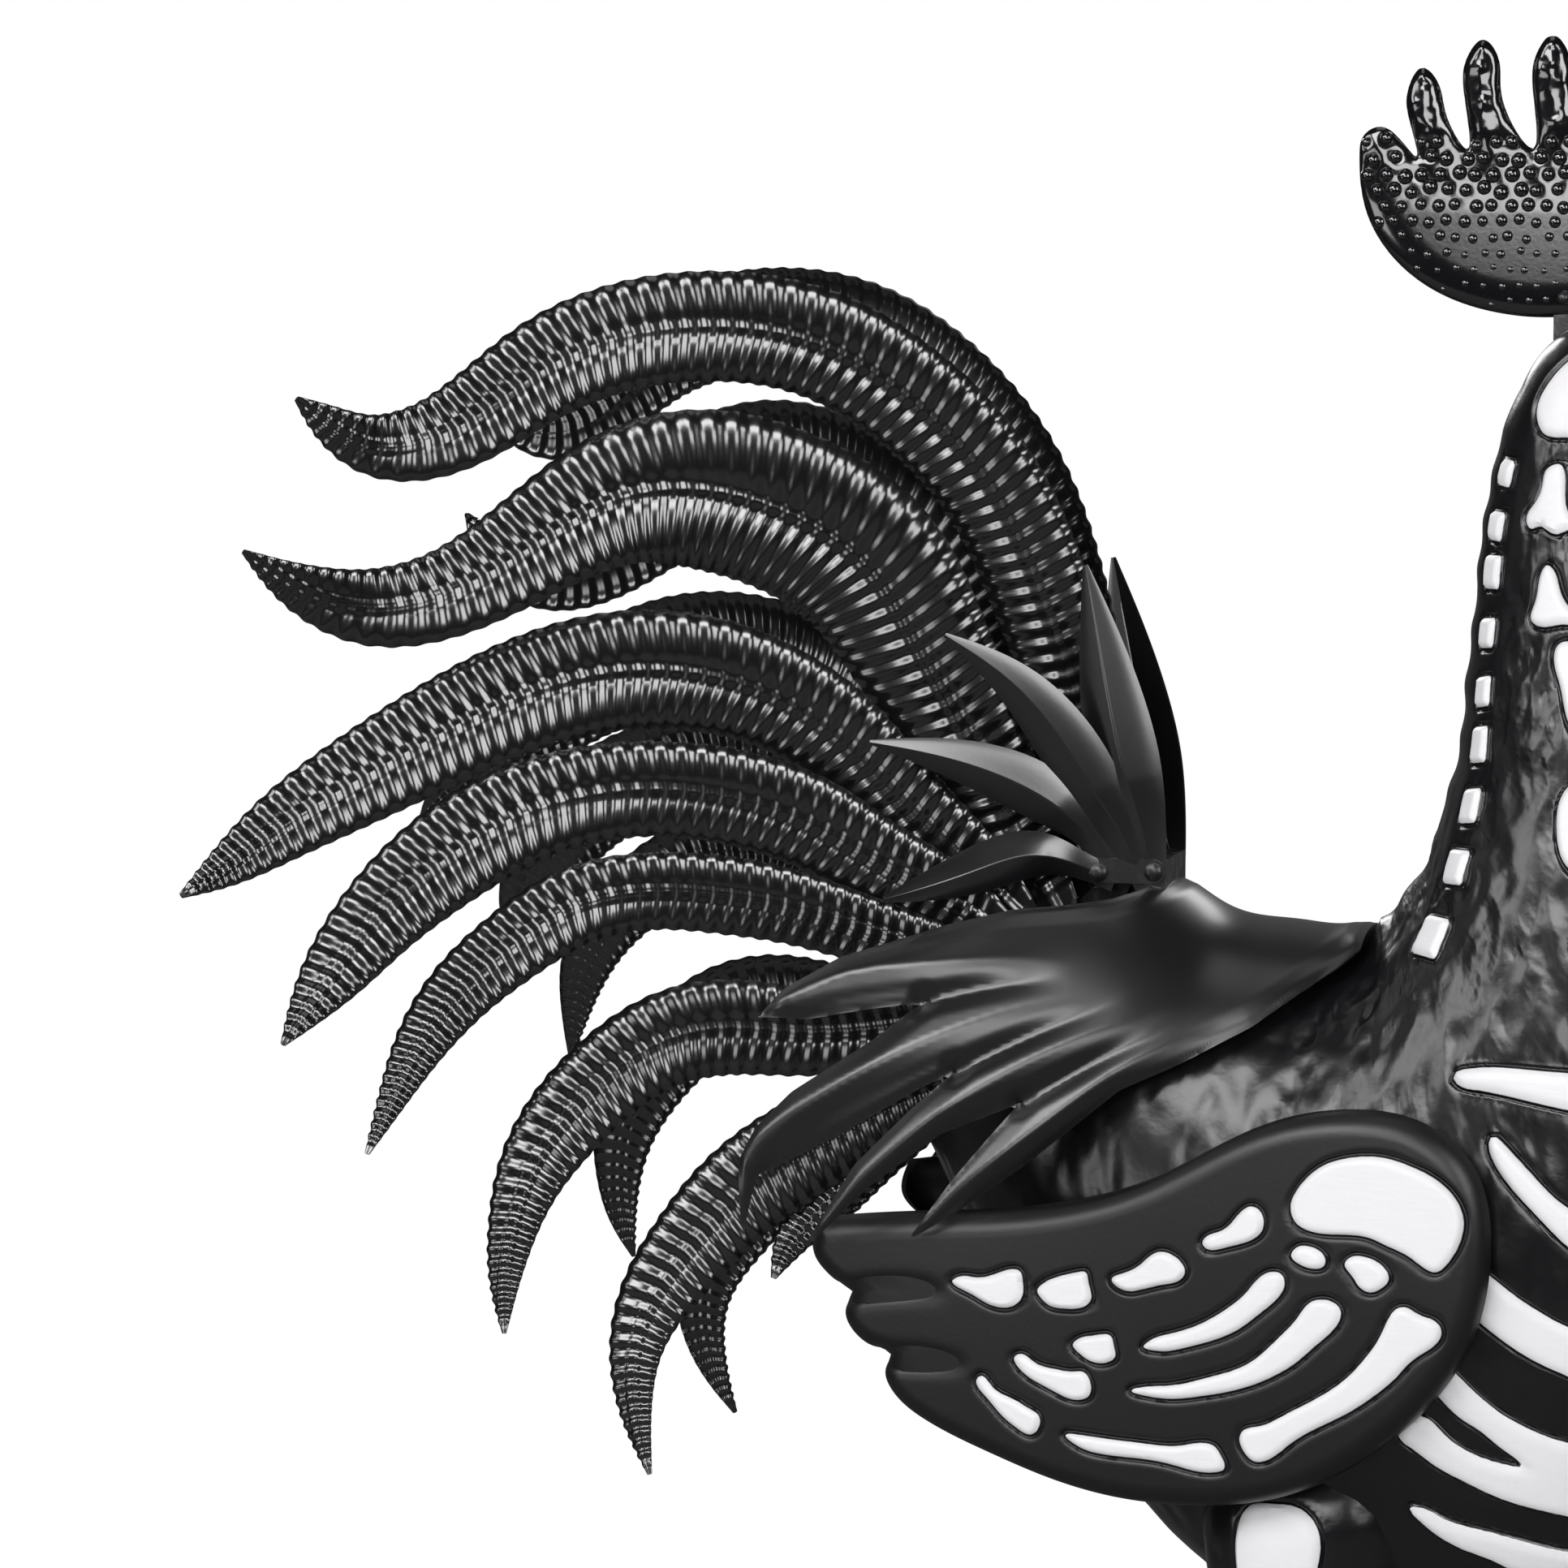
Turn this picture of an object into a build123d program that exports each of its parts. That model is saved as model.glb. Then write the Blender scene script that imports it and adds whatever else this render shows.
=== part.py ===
"""Garden rooster of painted sheet metal, about 1.2 m tall.

The head looks along +X, the bird's right side is on -Y, +Z is up, and the
origin lies on the ground under the middle of the bird. Right-hand pieces are
modelled first and mirrored about the XZ plane to make the left-hand ones.
"""
from build123d import *
import math
import os

os.makedirs("parts", exist_ok=True)

# Driving dimensions in millimetres
body_length = 543.0
body_tall = 744.0
body_half_width = 130.0
belly_height = 320.0
body_rear_x = -84.0
tail_length = 460.0
feather_width = 92.0
wing_length = 381.0
wing_height = 219.0
comb_length = 225.0
comb_height = 149.0
beak_length = 96.0

# Sheets, gaps and fasteners
body_sheet = 1.5
trim_sheet = 1.2
wing_sheet = 1.5
fit_gap = 0.3
overrun = 20.0
screw_radius = 3.0
screw_clearance = 0.3
head_radius = 4.8
head_height = 3.6
nut_height = 4.5


def on_body(x_share, z_share):
    """A place in the side view, given in shares of the body's length and height."""
    return (body_rear_x + x_share * body_length, belly_height + z_share * body_tall)


# Body, neck and head: one lofted form. Each row is a section: the point on the
# back (x, z), the point on the belly or throat (x, z) and the half width.
body_station_shares = [
    (0.223, 0.572, 0.000, 0.376, 0.570),
    (0.282, 0.550, 0.041, 0.316, 0.615),
    (0.350, 0.532, 0.123, 0.218, 0.730),
    (0.425, 0.528, 0.245, 0.098, 0.860),
    (0.468, 0.539, 0.357, 0.035, 0.940),
    (0.495, 0.562, 0.527, 0.000, 0.985),
    (0.512, 0.588, 0.709, 0.028, 1.000),
    (0.525, 0.609, 0.855, 0.103, 0.985),
    (0.536, 0.637, 0.956, 0.216, 0.940),
    (0.549, 0.667, 1.000, 0.351, 0.860),
    (0.558, 0.703, 0.982, 0.481, 0.750),
    (0.565, 0.746, 0.906, 0.609, 0.630),
    (0.575, 0.793, 0.840, 0.703, 0.520),
    (0.582, 0.847, 0.797, 0.785, 0.445),
    (0.593, 0.901, 0.777, 0.837, 0.400),
    (0.604, 0.945, 0.779, 0.847, 0.385),
    (0.634, 0.982, 0.784, 0.849, 0.380),
    (0.685, 1.000, 0.792, 0.850, 0.370),
    (0.744, 0.997, 0.804, 0.853, 0.340),
    (0.794, 0.978, 0.818, 0.858, 0.277),
    (0.825, 0.956, 0.832, 0.867, 0.185),
]
neck_station = 14


def station(row):
    """The plane, half height and half width of one body section."""
    back_x, back_z, front_x, front_z, width_share = row
    back = Vector(*on_body(back_x, back_z))
    front = Vector(*on_body(front_x, front_z))
    back, front = Vector(back.X, 0, back.Y), Vector(front.X, 0, front.Y)
    down = front - back
    plane = Plane(origin=(back + front) / 2, x_dir=down, z_dir=down.cross(Vector(0, 1, 0)))
    return plane, down.length / 2, width_share * body_half_width


def half_ellipse(along, across):
    """Draw the right half of an ellipse, closed by its long axis."""
    arc = EllipticalCenterArc((0, 0), along, across, start_angle=180, arc_size=180)
    Line(arc @ 1, arc @ 0)


def whole_ellipse(along, across):
    """Draw an ellipse as two halves."""
    for start_angle in (0, 180):
        EllipticalCenterArc((0, 0), along, across, start_angle=start_angle, arc_size=180)


def body_form(inset):
    """The right half of body, neck and head as a solid, drawn in by the inset."""
    with BuildPart() as form:
        for row in body_station_shares:
            plane, half_height, half_width = station(row)
            with BuildSketch(plane):
                with BuildLine():
                    half_ellipse(half_height - inset, half_width - inset)
                make_face()
        loft()
    return form.part


body_outer = body_form(0)
body_cavity = body_form(body_sheet)
body_clear = body_form(-fit_gap)
body_inside = body_form(body_sheet + fit_gap)
neck_plane, neck_half_height, neck_half_width = station(body_station_shares[neck_station])

# Legs: the places that the body, thighs and feet share
leg_x, leg_plate_z = on_body(0.398, 0.148)
leg_spread = 76.0
leg_plate_thickness = 4.0
shank_radius = 11.0
shank_wall = 2.5


def body_shell(part_of_bird):
    """Right half of the body or of the head, in sheet, with its leg hole."""
    with BuildPart() as shell:
        add(body_outer)
        add(body_cavity, mode=Mode.SUBTRACT)
        split(bisect_by=neck_plane, keep=part_of_bird)
        with BuildSketch(Plane.XY.offset(leg_plate_z)):
            with Locations((leg_x, -leg_spread)):
                Circle(shank_radius + fit_gap)
        extrude(amount=-belly_height, mode=Mode.SUBTRACT)
    return shell.part


def mirrored(right_part):
    """The left-hand copy of a right-hand piece."""
    with BuildPart() as left:
        mirror(right_part, about=Plane.XZ)
    return left.part


def keep(label, part):
    """Label a finished piece and write its file."""
    part.label = label
    export_step(part, "parts/" + label + ".step")


def keep_pair(label, right_part):
    """Keep a right-hand piece and its left-hand copy."""
    keep(label + "_right", right_part)
    keep(label + "_left", mirrored(right_part))


body_shell_right = body_shell(Keep.BOTTOM)
head_shell_right = body_shell(Keep.TOP)
keep_pair("body_shell", body_shell_right)
keep_pair("head_shell", head_shell_right)

# Collar inside the neck seam
collar_length = 30.0
collar_wall = 1.5
with BuildPart() as neck_collar:
    with BuildSketch(neck_plane.offset(-collar_length / 2)):
        Ellipse(neck_half_height + overrun, neck_half_width + overrun)
    extrude(amount=collar_length)
    add(body_inside, mode=Mode.INTERSECT)
    add(body_form(body_sheet + fit_gap + collar_wall), mode=Mode.SUBTRACT)
    mirror(about=Plane.XZ)
keep("neck_collar", neck_collar.part)

# Beak: sections from the open front of the head to the tip. Each row gives the
# reach, the top and the bottom about the middle, and the half width.
beak_station_shares = [
    (0.36, 0.36, -0.42, 0.80),
    (0.70, 0.13, -0.38, 0.48),
    (0.92, -0.12, -0.34, 0.22),
    (1.00, -0.28, -0.38, 0.09),
]
beak_wall = 1.2
gape_share = -0.16
lower_beak_share = 0.82
beak_plane, beak_half_depth, beak_half_width = station(body_station_shares[-1])
beak_root = beak_plane.origin
beak_depth = 2 * beak_half_depth


def beak_form(inset):
    """The right half of the beak as a solid, drawn in by the inset."""
    with BuildPart() as form:
        with BuildSketch(beak_plane):
            with BuildLine():
                half_ellipse(beak_half_depth - inset, beak_half_width - inset)
            make_face()
        for reach, top, bottom, width in beak_station_shares:
            middle = beak_root + Vector(reach * beak_length, 0, (top + bottom) / 2 * beak_depth)
            half_depth = (top - bottom) / 2 * beak_depth
            half_width = width * beak_half_width
            shrink = min(inset, half_width / 2)
            with BuildSketch(Plane(origin=middle, x_dir=(0, 0, -1), z_dir=(1, 0, 0))):
                with BuildLine():
                    half_ellipse(half_depth - shrink, half_width - shrink)
                make_face()
        loft()
    return form.part


beak_outer = beak_form(0)
beak_inner = beak_form(beak_wall)
gape_z = beak_root.Z + gape_share * beak_depth
with BuildPart() as beak_upper:
    add(beak_outer)
    add(beak_inner, mode=Mode.SUBTRACT)
    split(bisect_by=Plane.XY.offset(gape_z + fit_gap / 2), keep=Keep.TOP)
    mirror(about=Plane.XZ)
with BuildPart() as beak_lower:
    add(beak_outer)
    add(beak_inner, mode=Mode.SUBTRACT)
    split(bisect_by=Plane.XY.offset(gape_z - fit_gap / 2), keep=Keep.BOTTOM)
    split(
        bisect_by=Plane.YZ.offset(beak_root.X + lower_beak_share * beak_length),
        keep=Keep.BOTTOM,
    )
    mirror(about=Plane.XZ)
keep("beak_upper", beak_upper.part)
keep("beak_lower", beak_lower.part)

# Eyes: a stepped disc on each side of the head
eye_x, eye_z = on_body(0.742, 0.934)
eye_radius = 13.0
eye_proud = 4.0
pupil_radius = 7.5
pupil_proud = 2.0
eye_out = body_half_width * body_station_shares[17][4] + eye_proud
with BuildPart() as eye_right:
    with BuildSketch(Plane.XZ.offset(eye_out)):
        with Locations((eye_x, eye_z)):
            Circle(eye_radius)
    extrude(amount=-eye_out)
    with BuildSketch(Plane.XZ.offset(eye_out)):
        with Locations((eye_x, eye_z)):
            Circle(pupil_radius)
    extrude(amount=pupil_proud)
    add(body_clear, mode=Mode.SUBTRACT)
keep_pair("eye", eye_right.part)

# Wattles: two drop-shaped sheets hung under the beak
wattle_length = 92.0
wattle_width = 44.0
wattle_out = 9.0
wattle_top = Vector(beak_root.X + 0.30 * beak_length, 0, beak_root.Z - 0.33 * beak_depth)
wattle_shares = [(0.0, 0.0), (-0.30, -0.30), (-0.50, -0.66), (-0.18, -0.98), (0.26, -0.94),
                 (0.50, -0.62), (0.30, -0.26), (0.0, 0.0)]
with BuildPart() as wattle_right:
    with BuildSketch(Plane.XZ.offset(wattle_out)):
        with BuildLine():
            Spline([
                (wattle_top.X + x * wattle_width, wattle_top.Z + z * wattle_length)
                for x, z in wattle_shares
            ])
        make_face()
    extrude(amount=trim_sheet)
    add(beak_form(-fit_gap), mode=Mode.SUBTRACT)
    add(body_clear, mode=Mode.SUBTRACT)
keep_pair("wattle", wattle_right.part)

# Comb: two stamped halves that meet on the middle plane, held by two tabs
comb_rear_x, crown_z = on_body(0.444, 1.0)
comb_gap = 3.0
comb_base_z = crown_z + comb_gap
comb_half_depth = 7.0
# Points round the comb: five to each rounded point, one in each notch between
comb_shares = [
    (0.010, 0.560), (0.018, 0.635), (0.048, 0.660), (0.085, 0.625), (0.126, 0.560),
    (0.108, 0.690), (0.104, 0.810), (0.138, 0.885), (0.172, 0.840), (0.196, 0.715),
    (0.248, 0.588), (0.239, 0.790), (0.250, 0.935), (0.283, 0.985), (0.316, 0.935),
    (0.330, 0.780), (0.408, 0.592), (0.405, 0.800), (0.418, 0.950), (0.450, 1.000),
    (0.484, 0.950), (0.500, 0.800), (0.562, 0.600), (0.568, 0.800), (0.585, 0.945),
    (0.620, 0.990), (0.655, 0.940), (0.668, 0.775), (0.720, 0.575), (0.738, 0.745),
    (0.760, 0.865), (0.794, 0.900), (0.824, 0.845), (0.836, 0.690), (0.876, 0.532),
    (0.910, 0.640), (0.948, 0.680), (0.985, 0.640), (1.000, 0.540), (0.990, 0.370),
    (0.936, 0.198), (0.803, 0.052), (0.600, 0.000), (0.430, 0.004), (0.320, 0.025),
    (0.201, 0.082), (0.082, 0.208), (0.020, 0.370),
]
comb_facets = 150
comb_curve = Edge.make_spline(
    [(comb_rear_x + x * comb_length, comb_base_z + z * comb_height) for x, z in comb_shares],
    periodic=True,
)
comb_edge = [comb_curve.position_at(step / comb_facets) for step in range(comb_facets)]

comb_tab_width = 12.0
comb_tab_thickness = 4.0
comb_tab_rise = 18.0
comb_screw_rise = 8.0
comb_screw_radius = 2.0
comb_tab_xs = [comb_rear_x + share * comb_length for share in (0.49, 0.70)]
comb_screw_spots = [(x, comb_base_z + comb_screw_rise) for x in comb_tab_xs]


def tab_block(margin):
    """The upright tabs that carry the comb, with a margin all round."""
    with BuildPart() as block:
        with BuildSketch(Plane.XZ.offset(-comb_tab_thickness / 2 - margin)):
            for x in comb_tab_xs:
                with Locations((x, comb_base_z + comb_tab_rise - overrun)):
                    Rectangle(comb_tab_width + 2 * margin, 2 * overrun + 2 * margin)
        extrude(amount=comb_tab_thickness + 2 * margin)
    return block.part


with BuildPart() as comb_right:
    with BuildSketch(Plane.XZ):
        with BuildLine():
            Polyline(*comb_edge, close=True)
        make_face()
    extrude(amount=comb_half_depth)
    with BuildSketch(Plane.XZ):
        with BuildLine():
            Polyline(*comb_edge, close=True)
        make_face()
        offset(amount=-trim_sheet, mode=Mode.REPLACE)
    extrude(amount=comb_half_depth - trim_sheet, mode=Mode.SUBTRACT)
    add(tab_block(fit_gap), mode=Mode.SUBTRACT)
    with BuildSketch(Plane.XZ):
        with Locations(*comb_screw_spots):
            Circle(comb_screw_radius + screw_clearance)
    extrude(amount=comb_half_depth, mode=Mode.SUBTRACT)
keep_pair("comb", comb_right.part)

with BuildPart() as comb_tabs:
    add(tab_block(0))
    add(body_clear, mode=Mode.SUBTRACT)
    add(mirrored(body_clear), mode=Mode.SUBTRACT)
    with BuildSketch(Plane.XZ):
        with Locations(*comb_screw_spots):
            Circle(comb_screw_radius + screw_clearance)
    extrude(amount=comb_tab_thickness, both=True, mode=Mode.SUBTRACT)
keep("comb_tabs", comb_tabs.part)


def cross_bolts(spots, half_span, radius):
    """Bolts along Y through both sides, each with its round head on the right."""
    with BuildPart() as bolts:
        with BuildSketch(Plane.XZ.offset(half_span)):
            with Locations(*spots):
                Circle(radius * head_radius / screw_radius)
        extrude(amount=head_height)
        with BuildSketch(Plane.XZ.offset(half_span)):
            with Locations(*spots):
                Circle(radius)
        extrude(amount=-2 * half_span - nut_height)
    return bolts.part


def cross_nuts(spots, half_span, radius):
    """Hexagon nuts on the left ends of cross bolts."""
    with BuildPart() as nuts:
        with BuildSketch(Plane.XZ.offset(-half_span - nut_height)):
            with Locations(*spots):
                RegularPolygon(radius * head_radius / screw_radius, 6)
                Circle(radius, mode=Mode.SUBTRACT)
        extrude(amount=nut_height)
    return nuts.part


keep("comb_screws", cross_bolts(comb_screw_spots, comb_half_depth, comb_screw_radius))
keep("comb_nuts", cross_nuts(comb_screw_spots, comb_half_depth, comb_screw_radius))

# Saddle: a thin cape over the back, arched across, cut into pointed fingers.
# Each row is an arch: its place along the body, its top, its middle and its
# half width.
saddle_arch_shares = [
    (-0.175, 0.610, 0.325, 1.00),
    (-0.070, 0.615, 0.328, 1.01),
    (0.033, 0.615, 0.338, 0.99),
    (0.144, 0.606, 0.356, 0.92),
    (0.245, 0.585, 0.376, 0.84),
    (0.300, 0.560, 0.363, 0.84),
    (0.383, 0.549, 0.310, 0.95),
    (0.438, 0.548, 0.282, 1.01),
    (0.490, 0.562, 0.282, 1.05),
]
# Side outline, from the ridge at the rear round the fingers to the front
saddle_outline_shares = [
    (0.266, 0.640), (0.262, 0.572), (0.206, 0.563), (0.171, 0.558), (0.112, 0.550),
    (0.029, 0.544), (-0.052, 0.530), (-0.107, 0.505), (-0.133, 0.485),
    (-0.081, 0.485), (-0.026, 0.493), (0.036, 0.500), (-0.009, 0.473),
    (-0.090, 0.433), (-0.125, 0.406), (-0.140, 0.383), (-0.138, 0.322),
    (-0.122, 0.371), (-0.039, 0.403), (0.039, 0.438), (0.076, 0.452),
    (0.037, 0.426), (-0.020, 0.383), (-0.076, 0.315), (-0.006, 0.366),
    (0.066, 0.407), (0.142, 0.430), (0.110, 0.402), (0.079, 0.374),
    (0.033, 0.327), (0.099, 0.358), (0.153, 0.387), (0.241, 0.441),
    (0.297, 0.460), (0.366, 0.488), (0.444, 0.530), (0.460, 0.541), (0.460, 0.640),
]


def saddle_form(inset):
    """The closed form under the cape, drawn in by the inset."""
    with BuildPart() as form:
        for along, top, middle, width in saddle_arch_shares:
            x, top_z = on_body(along, top)
            middle_z = on_body(along, middle)[1]
            with BuildSketch(Plane(origin=(x, 0, middle_z), x_dir=(0, 1, 0), z_dir=(1, 0, 0))):
                with BuildLine():
                    whole_ellipse(width * body_half_width - inset, top_z - middle_z - inset)
                make_face()
        loft()
    return form.part


with BuildPart() as saddle_cape:
    with BuildSketch(Plane.XZ):
        with BuildLine():
            Polyline(*[on_body(x, z) for x, z in saddle_outline_shares], close=True)
        make_face()
    extrude(amount=body_half_width + overrun, both=True)
    add(saddle_form(0), mode=Mode.INTERSECT)
    add(saddle_form(trim_sheet), mode=Mode.SUBTRACT)
keep("saddle_cape", saddle_cape.part)

# Pegs that carry the cape on the body
peg_radius = 4.0
peg_spots = [on_body(0.272, 0.511), on_body(0.383, 0.518)]
with BuildPart() as saddle_pegs:
    with BuildSketch(Plane.XZ):
        with Locations(*peg_spots):
            Circle(peg_radius)
    extrude(amount=body_half_width)
    add(saddle_form(trim_sheet + fit_gap), mode=Mode.INTERSECT)
    add(body_clear, mode=Mode.SUBTRACT)
    mirror(about=Plane.XZ)
keep("saddle_pegs", saddle_pegs.part)

# Tail hub: where all feather tabs meet, just outside the open rear of the body
hub_x, hub_z = on_body(0.129, 0.508)
hub_pad_radius = 19.0
hub_bolt_radius = 3.5
pin_offset = -13.0
first_level = 8.0
level_pitch = 6.2
feather_sheet = 1.2
feather_steps = 16
feather_dome_share = 0.085
valley_share = 0.30
root_dome_share = 0.05
dome_ramp = 8.0
sweep_power = 1.8
hub_spots = [(hub_x, hub_z), (hub_x + pin_offset, hub_z)]

# Covert bolts: they carry the small front plumes and pass the first feather
covert_out = 26.0
covert_spots = [on_body(0.186, 0.587), on_body(0.243, 0.589)]

# Tail feathers of the right side, top to bottom. Each has its level in the hub
# stack, how far out its tip stands, and rows of middle line x, z and width.
feather_shares = {
    "tail_feather_1": (0, 1.23, [
        (0.076, 0.109, 0.25), (0.041, 0.296, 0.50), (-0.007, 0.454, 0.62),
        (-0.072, 0.600, 0.65), (-0.161, 0.698, 0.66), (-0.263, 0.761, 0.66),
        (-0.376, 0.783, 0.66), (-0.578, 0.733, 0.61), (-0.713, 0.646, 0.46),
        (-0.770, 0.643, 0.37), (-0.817, 0.670, 0.23), (-0.848, 0.700, 0.03)]),
    "tail_feather_2": (2, 1.42, [
        (0.011, 0.080, 0.30), (-0.048, 0.189, 0.55), (-0.100, 0.296, 0.75),
        (-0.152, 0.396, 0.90), (-0.217, 0.502, 1.00), (-0.300, 0.559, 1.00),
        (-0.393, 0.587, 0.97), (-0.487, 0.580, 0.83), (-0.559, 0.543, 0.70),
        (-0.700, 0.459, 0.52), (-0.770, 0.450, 0.46), (-0.839, 0.474, 0.31),
        (-0.896, 0.520, 0.03)]),
    "tail_feather_3": (4, 1.50, [
        (-0.030, 0.076, 0.27), (-0.080, 0.122, 0.45), (-0.170, 0.209, 0.55),
        (-0.246, 0.287, 0.62), (-0.330, 0.341, 0.67), (-0.426, 0.367, 0.72),
        (-0.520, 0.365, 0.72), (-0.702, 0.293, 0.64), (-0.789, 0.241, 0.56),
        (-0.867, 0.189, 0.44), (-0.924, 0.143, 0.27), (-0.972, 0.107, 0.03)]),
    "tail_feather_4": (6, 1.50, [
        (-0.048, 0.057, 0.28), (-0.093, 0.085, 0.42), (-0.191, 0.137, 0.52),
        (-0.278, 0.187, 0.58), (-0.363, 0.215, 0.59), (-0.457, 0.226, 0.58),
        (-0.550, 0.215, 0.60), (-0.633, 0.183, 0.62), (-0.702, 0.135, 0.60),
        (-0.761, 0.074, 0.52), (-0.802, 0.013, 0.40), (-0.843, -0.067, 0.03)]),
    "tail_feather_5": (7, 1.38, [
        (-0.052, 0.011, 0.26), (-0.109, 0.028, 0.35), (-0.207, 0.057, 0.42),
        (-0.293, 0.083, 0.46), (-0.378, 0.098, 0.48), (-0.463, 0.102, 0.47),
        (-0.548, 0.083, 0.48), (-0.611, 0.041, 0.46), (-0.663, -0.007, 0.42),
        (-0.704, -0.067, 0.34), (-0.728, -0.128, 0.21), (-0.750, -0.200, 0.03)]),
    "tail_feather_6": (5, 0.92, [
        (-0.052, -0.057, 0.26), (-0.128, -0.059, 0.40), (-0.217, -0.070, 0.50),
        (-0.296, -0.074, 0.55), (-0.374, -0.070, 0.59), (-0.452, -0.085, 0.58),
        (-0.520, -0.128, 0.55), (-0.572, -0.183, 0.52), (-0.607, -0.241, 0.45),
        (-0.626, -0.309, 0.33), (-0.630, -0.372, 0.21), (-0.622, -0.435, 0.03)]),
    "tail_feather_7": (3, 0.65, [
        (-0.043, -0.098, 0.24), (-0.135, -0.130, 0.40), (-0.226, -0.178, 0.52),
        (-0.304, -0.226, 0.60), (-0.378, -0.283, 0.59), (-0.430, -0.343, 0.54),
        (-0.474, -0.409, 0.45), (-0.493, -0.472, 0.34), (-0.489, -0.535, 0.23),
        (-0.461, -0.617, 0.03)]),
    "tail_feather_8": (1, 0.34, [
        (-0.052, -0.104, 0.20), (-0.135, -0.148, 0.29), (-0.210, -0.209, 0.33),
        (-0.265, -0.274, 0.28), (-0.309, -0.333, 0.21), (-0.330, -0.383, 0.03)]),
}


def fold_outline(half, dome, valley, sheet):
    """Draw a thin section with two vanes that rise beside a middle valley."""
    inner = [(-half, 0), (-half / 2, dome), (0, valley), (half / 2, dome), (half, 0)]
    outer = [(x, y + sheet) for x, y in reversed(inner)]
    Polyline(*inner, *outer, close=True)


def feather(level, tip_share, rows):
    """One tail feather of the right side, with its flat tab for the hub."""
    root_out = first_level + level * level_pitch
    tip_out = tip_share * body_half_width
    law = Edge.make_spline([
        (hub_x + x * tail_length, hub_z + z * tail_length, width * feather_width)
        for x, z, width in rows
    ])
    with BuildPart() as blade:
        for step in range(feather_steps + 1):
            share = step / feather_steps
            spot = law.position_at(share)
            run = law.tangent_at(share) * law.length
            out = root_out + (tip_out - root_out) * share ** sweep_power
            slope = (tip_out - root_out) * sweep_power * share ** (sweep_power - 1)
            along = Vector(run.X, -slope, run.Y).normalized()
            dome = feather_dome_share * spot.Z * max(root_dome_share, min(1, dome_ramp * share))
            plane = Plane(
                origin=(spot.X, -out, spot.Y), x_dir=(-along.Z, 0, along.X), z_dir=along
            )
            with BuildSketch(plane):
                with BuildLine():
                    fold_outline(spot.Z / 2, dome, valley_share * dome, feather_sheet)
                make_face()
        loft(ruled=True)
        root = law.position_at(0)
        run = law.tangent_at(0)
        run = Vector(run.X, run.Y, 0).normalized() * root.Z / 2
        reach = Vector(root.X - hub_x, root.Y - hub_z, 0).normalized() * hub_pad_radius
        with BuildSketch(Plane.XZ.offset(root_out)):
            with BuildLine():
                Polyline(
                    (hub_x - reach.Y, hub_z + reach.X),
                    (root.X - run.Y, root.Y + run.X),
                    (root.X + run.Y, root.Y - run.X),
                    (hub_x + reach.Y, hub_z - reach.X),
                    close=True,
                )
            make_face()
            with Locations((hub_x, hub_z)):
                Circle(hub_pad_radius)
            with Locations(*hub_spots):
                Circle(hub_bolt_radius + screw_clearance, mode=Mode.SUBTRACT)
        extrude(amount=feather_sheet)
        if level == 0:
            with BuildSketch(Plane.XZ):
                with Locations(covert_spots[0]):
                    Circle(screw_radius + screw_clearance)
            extrude(amount=covert_out, mode=Mode.SUBTRACT)
    return blade.part


for label, (level, tip_share, rows) in feather_shares.items():
    keep_pair(label, feather(level, tip_share, rows))

# Hub stack: spacers between the tabs, and the bracket that carries the bolts
cheek_out = first_level + len(feather_shares) * level_pitch
bracket_thickness = 3.0
with BuildPart() as tail_spacers:
    level_edges = [-first_level] + [
        first_level + level * level_pitch + feather_sheet for level in range(len(feather_shares))
    ]
    for level, inner_face in enumerate(level_edges):
        outer_face = first_level + level * level_pitch
        with BuildSketch(Plane.XZ.offset(inner_face)):
            with Locations((hub_x, hub_z)):
                Circle(hub_pad_radius)
            with Locations(*hub_spots):
                Circle(hub_bolt_radius + screw_clearance, mode=Mode.SUBTRACT)
        extrude(amount=outer_face - inner_face)
        if level > 0:
            with BuildSketch(Plane.XZ.offset(-outer_face)):
                with Locations((hub_x, hub_z)):
                    Circle(hub_pad_radius)
                with Locations(*hub_spots):
                    Circle(hub_bolt_radius + screw_clearance, mode=Mode.SUBTRACT)
            extrude(amount=outer_face - inner_face)
keep("tail_spacers", tail_spacers.part)

bulkhead_x = on_body(0.252, 0)[0]
bulkhead_thickness = 3.0
inward = station(body_station_shares[0])[0].z_dir
bracket_z = hub_z + (bulkhead_x - hub_x) * inward.Z / inward.X
bracket_half_height = hub_pad_radius / inward.X
bracket_screw_share = 0.6
bracket_screw_spots = [
    (side * bracket_screw_share * cheek_out, bracket_z + rise * bracket_half_height)
    for side in (-1, 1) for rise in (-0.5, 0.5)
]
with BuildPart() as tail_bulkhead:
    with BuildSketch(Plane.YZ.offset(bulkhead_x)):
        with Locations((0, hub_z)):
            Rectangle(4 * body_half_width, 2 * body_tall)
    extrude(amount=bulkhead_thickness)
    add(body_inside, mode=Mode.INTERSECT)
    mirror(about=Plane.XZ)
    with BuildSketch(Plane.YZ.offset(bulkhead_x)):
        with Locations(*bracket_screw_spots):
            Circle(screw_radius + screw_clearance)
    extrude(amount=bulkhead_thickness, mode=Mode.SUBTRACT)
keep("tail_bulkhead", tail_bulkhead.part)

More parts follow.
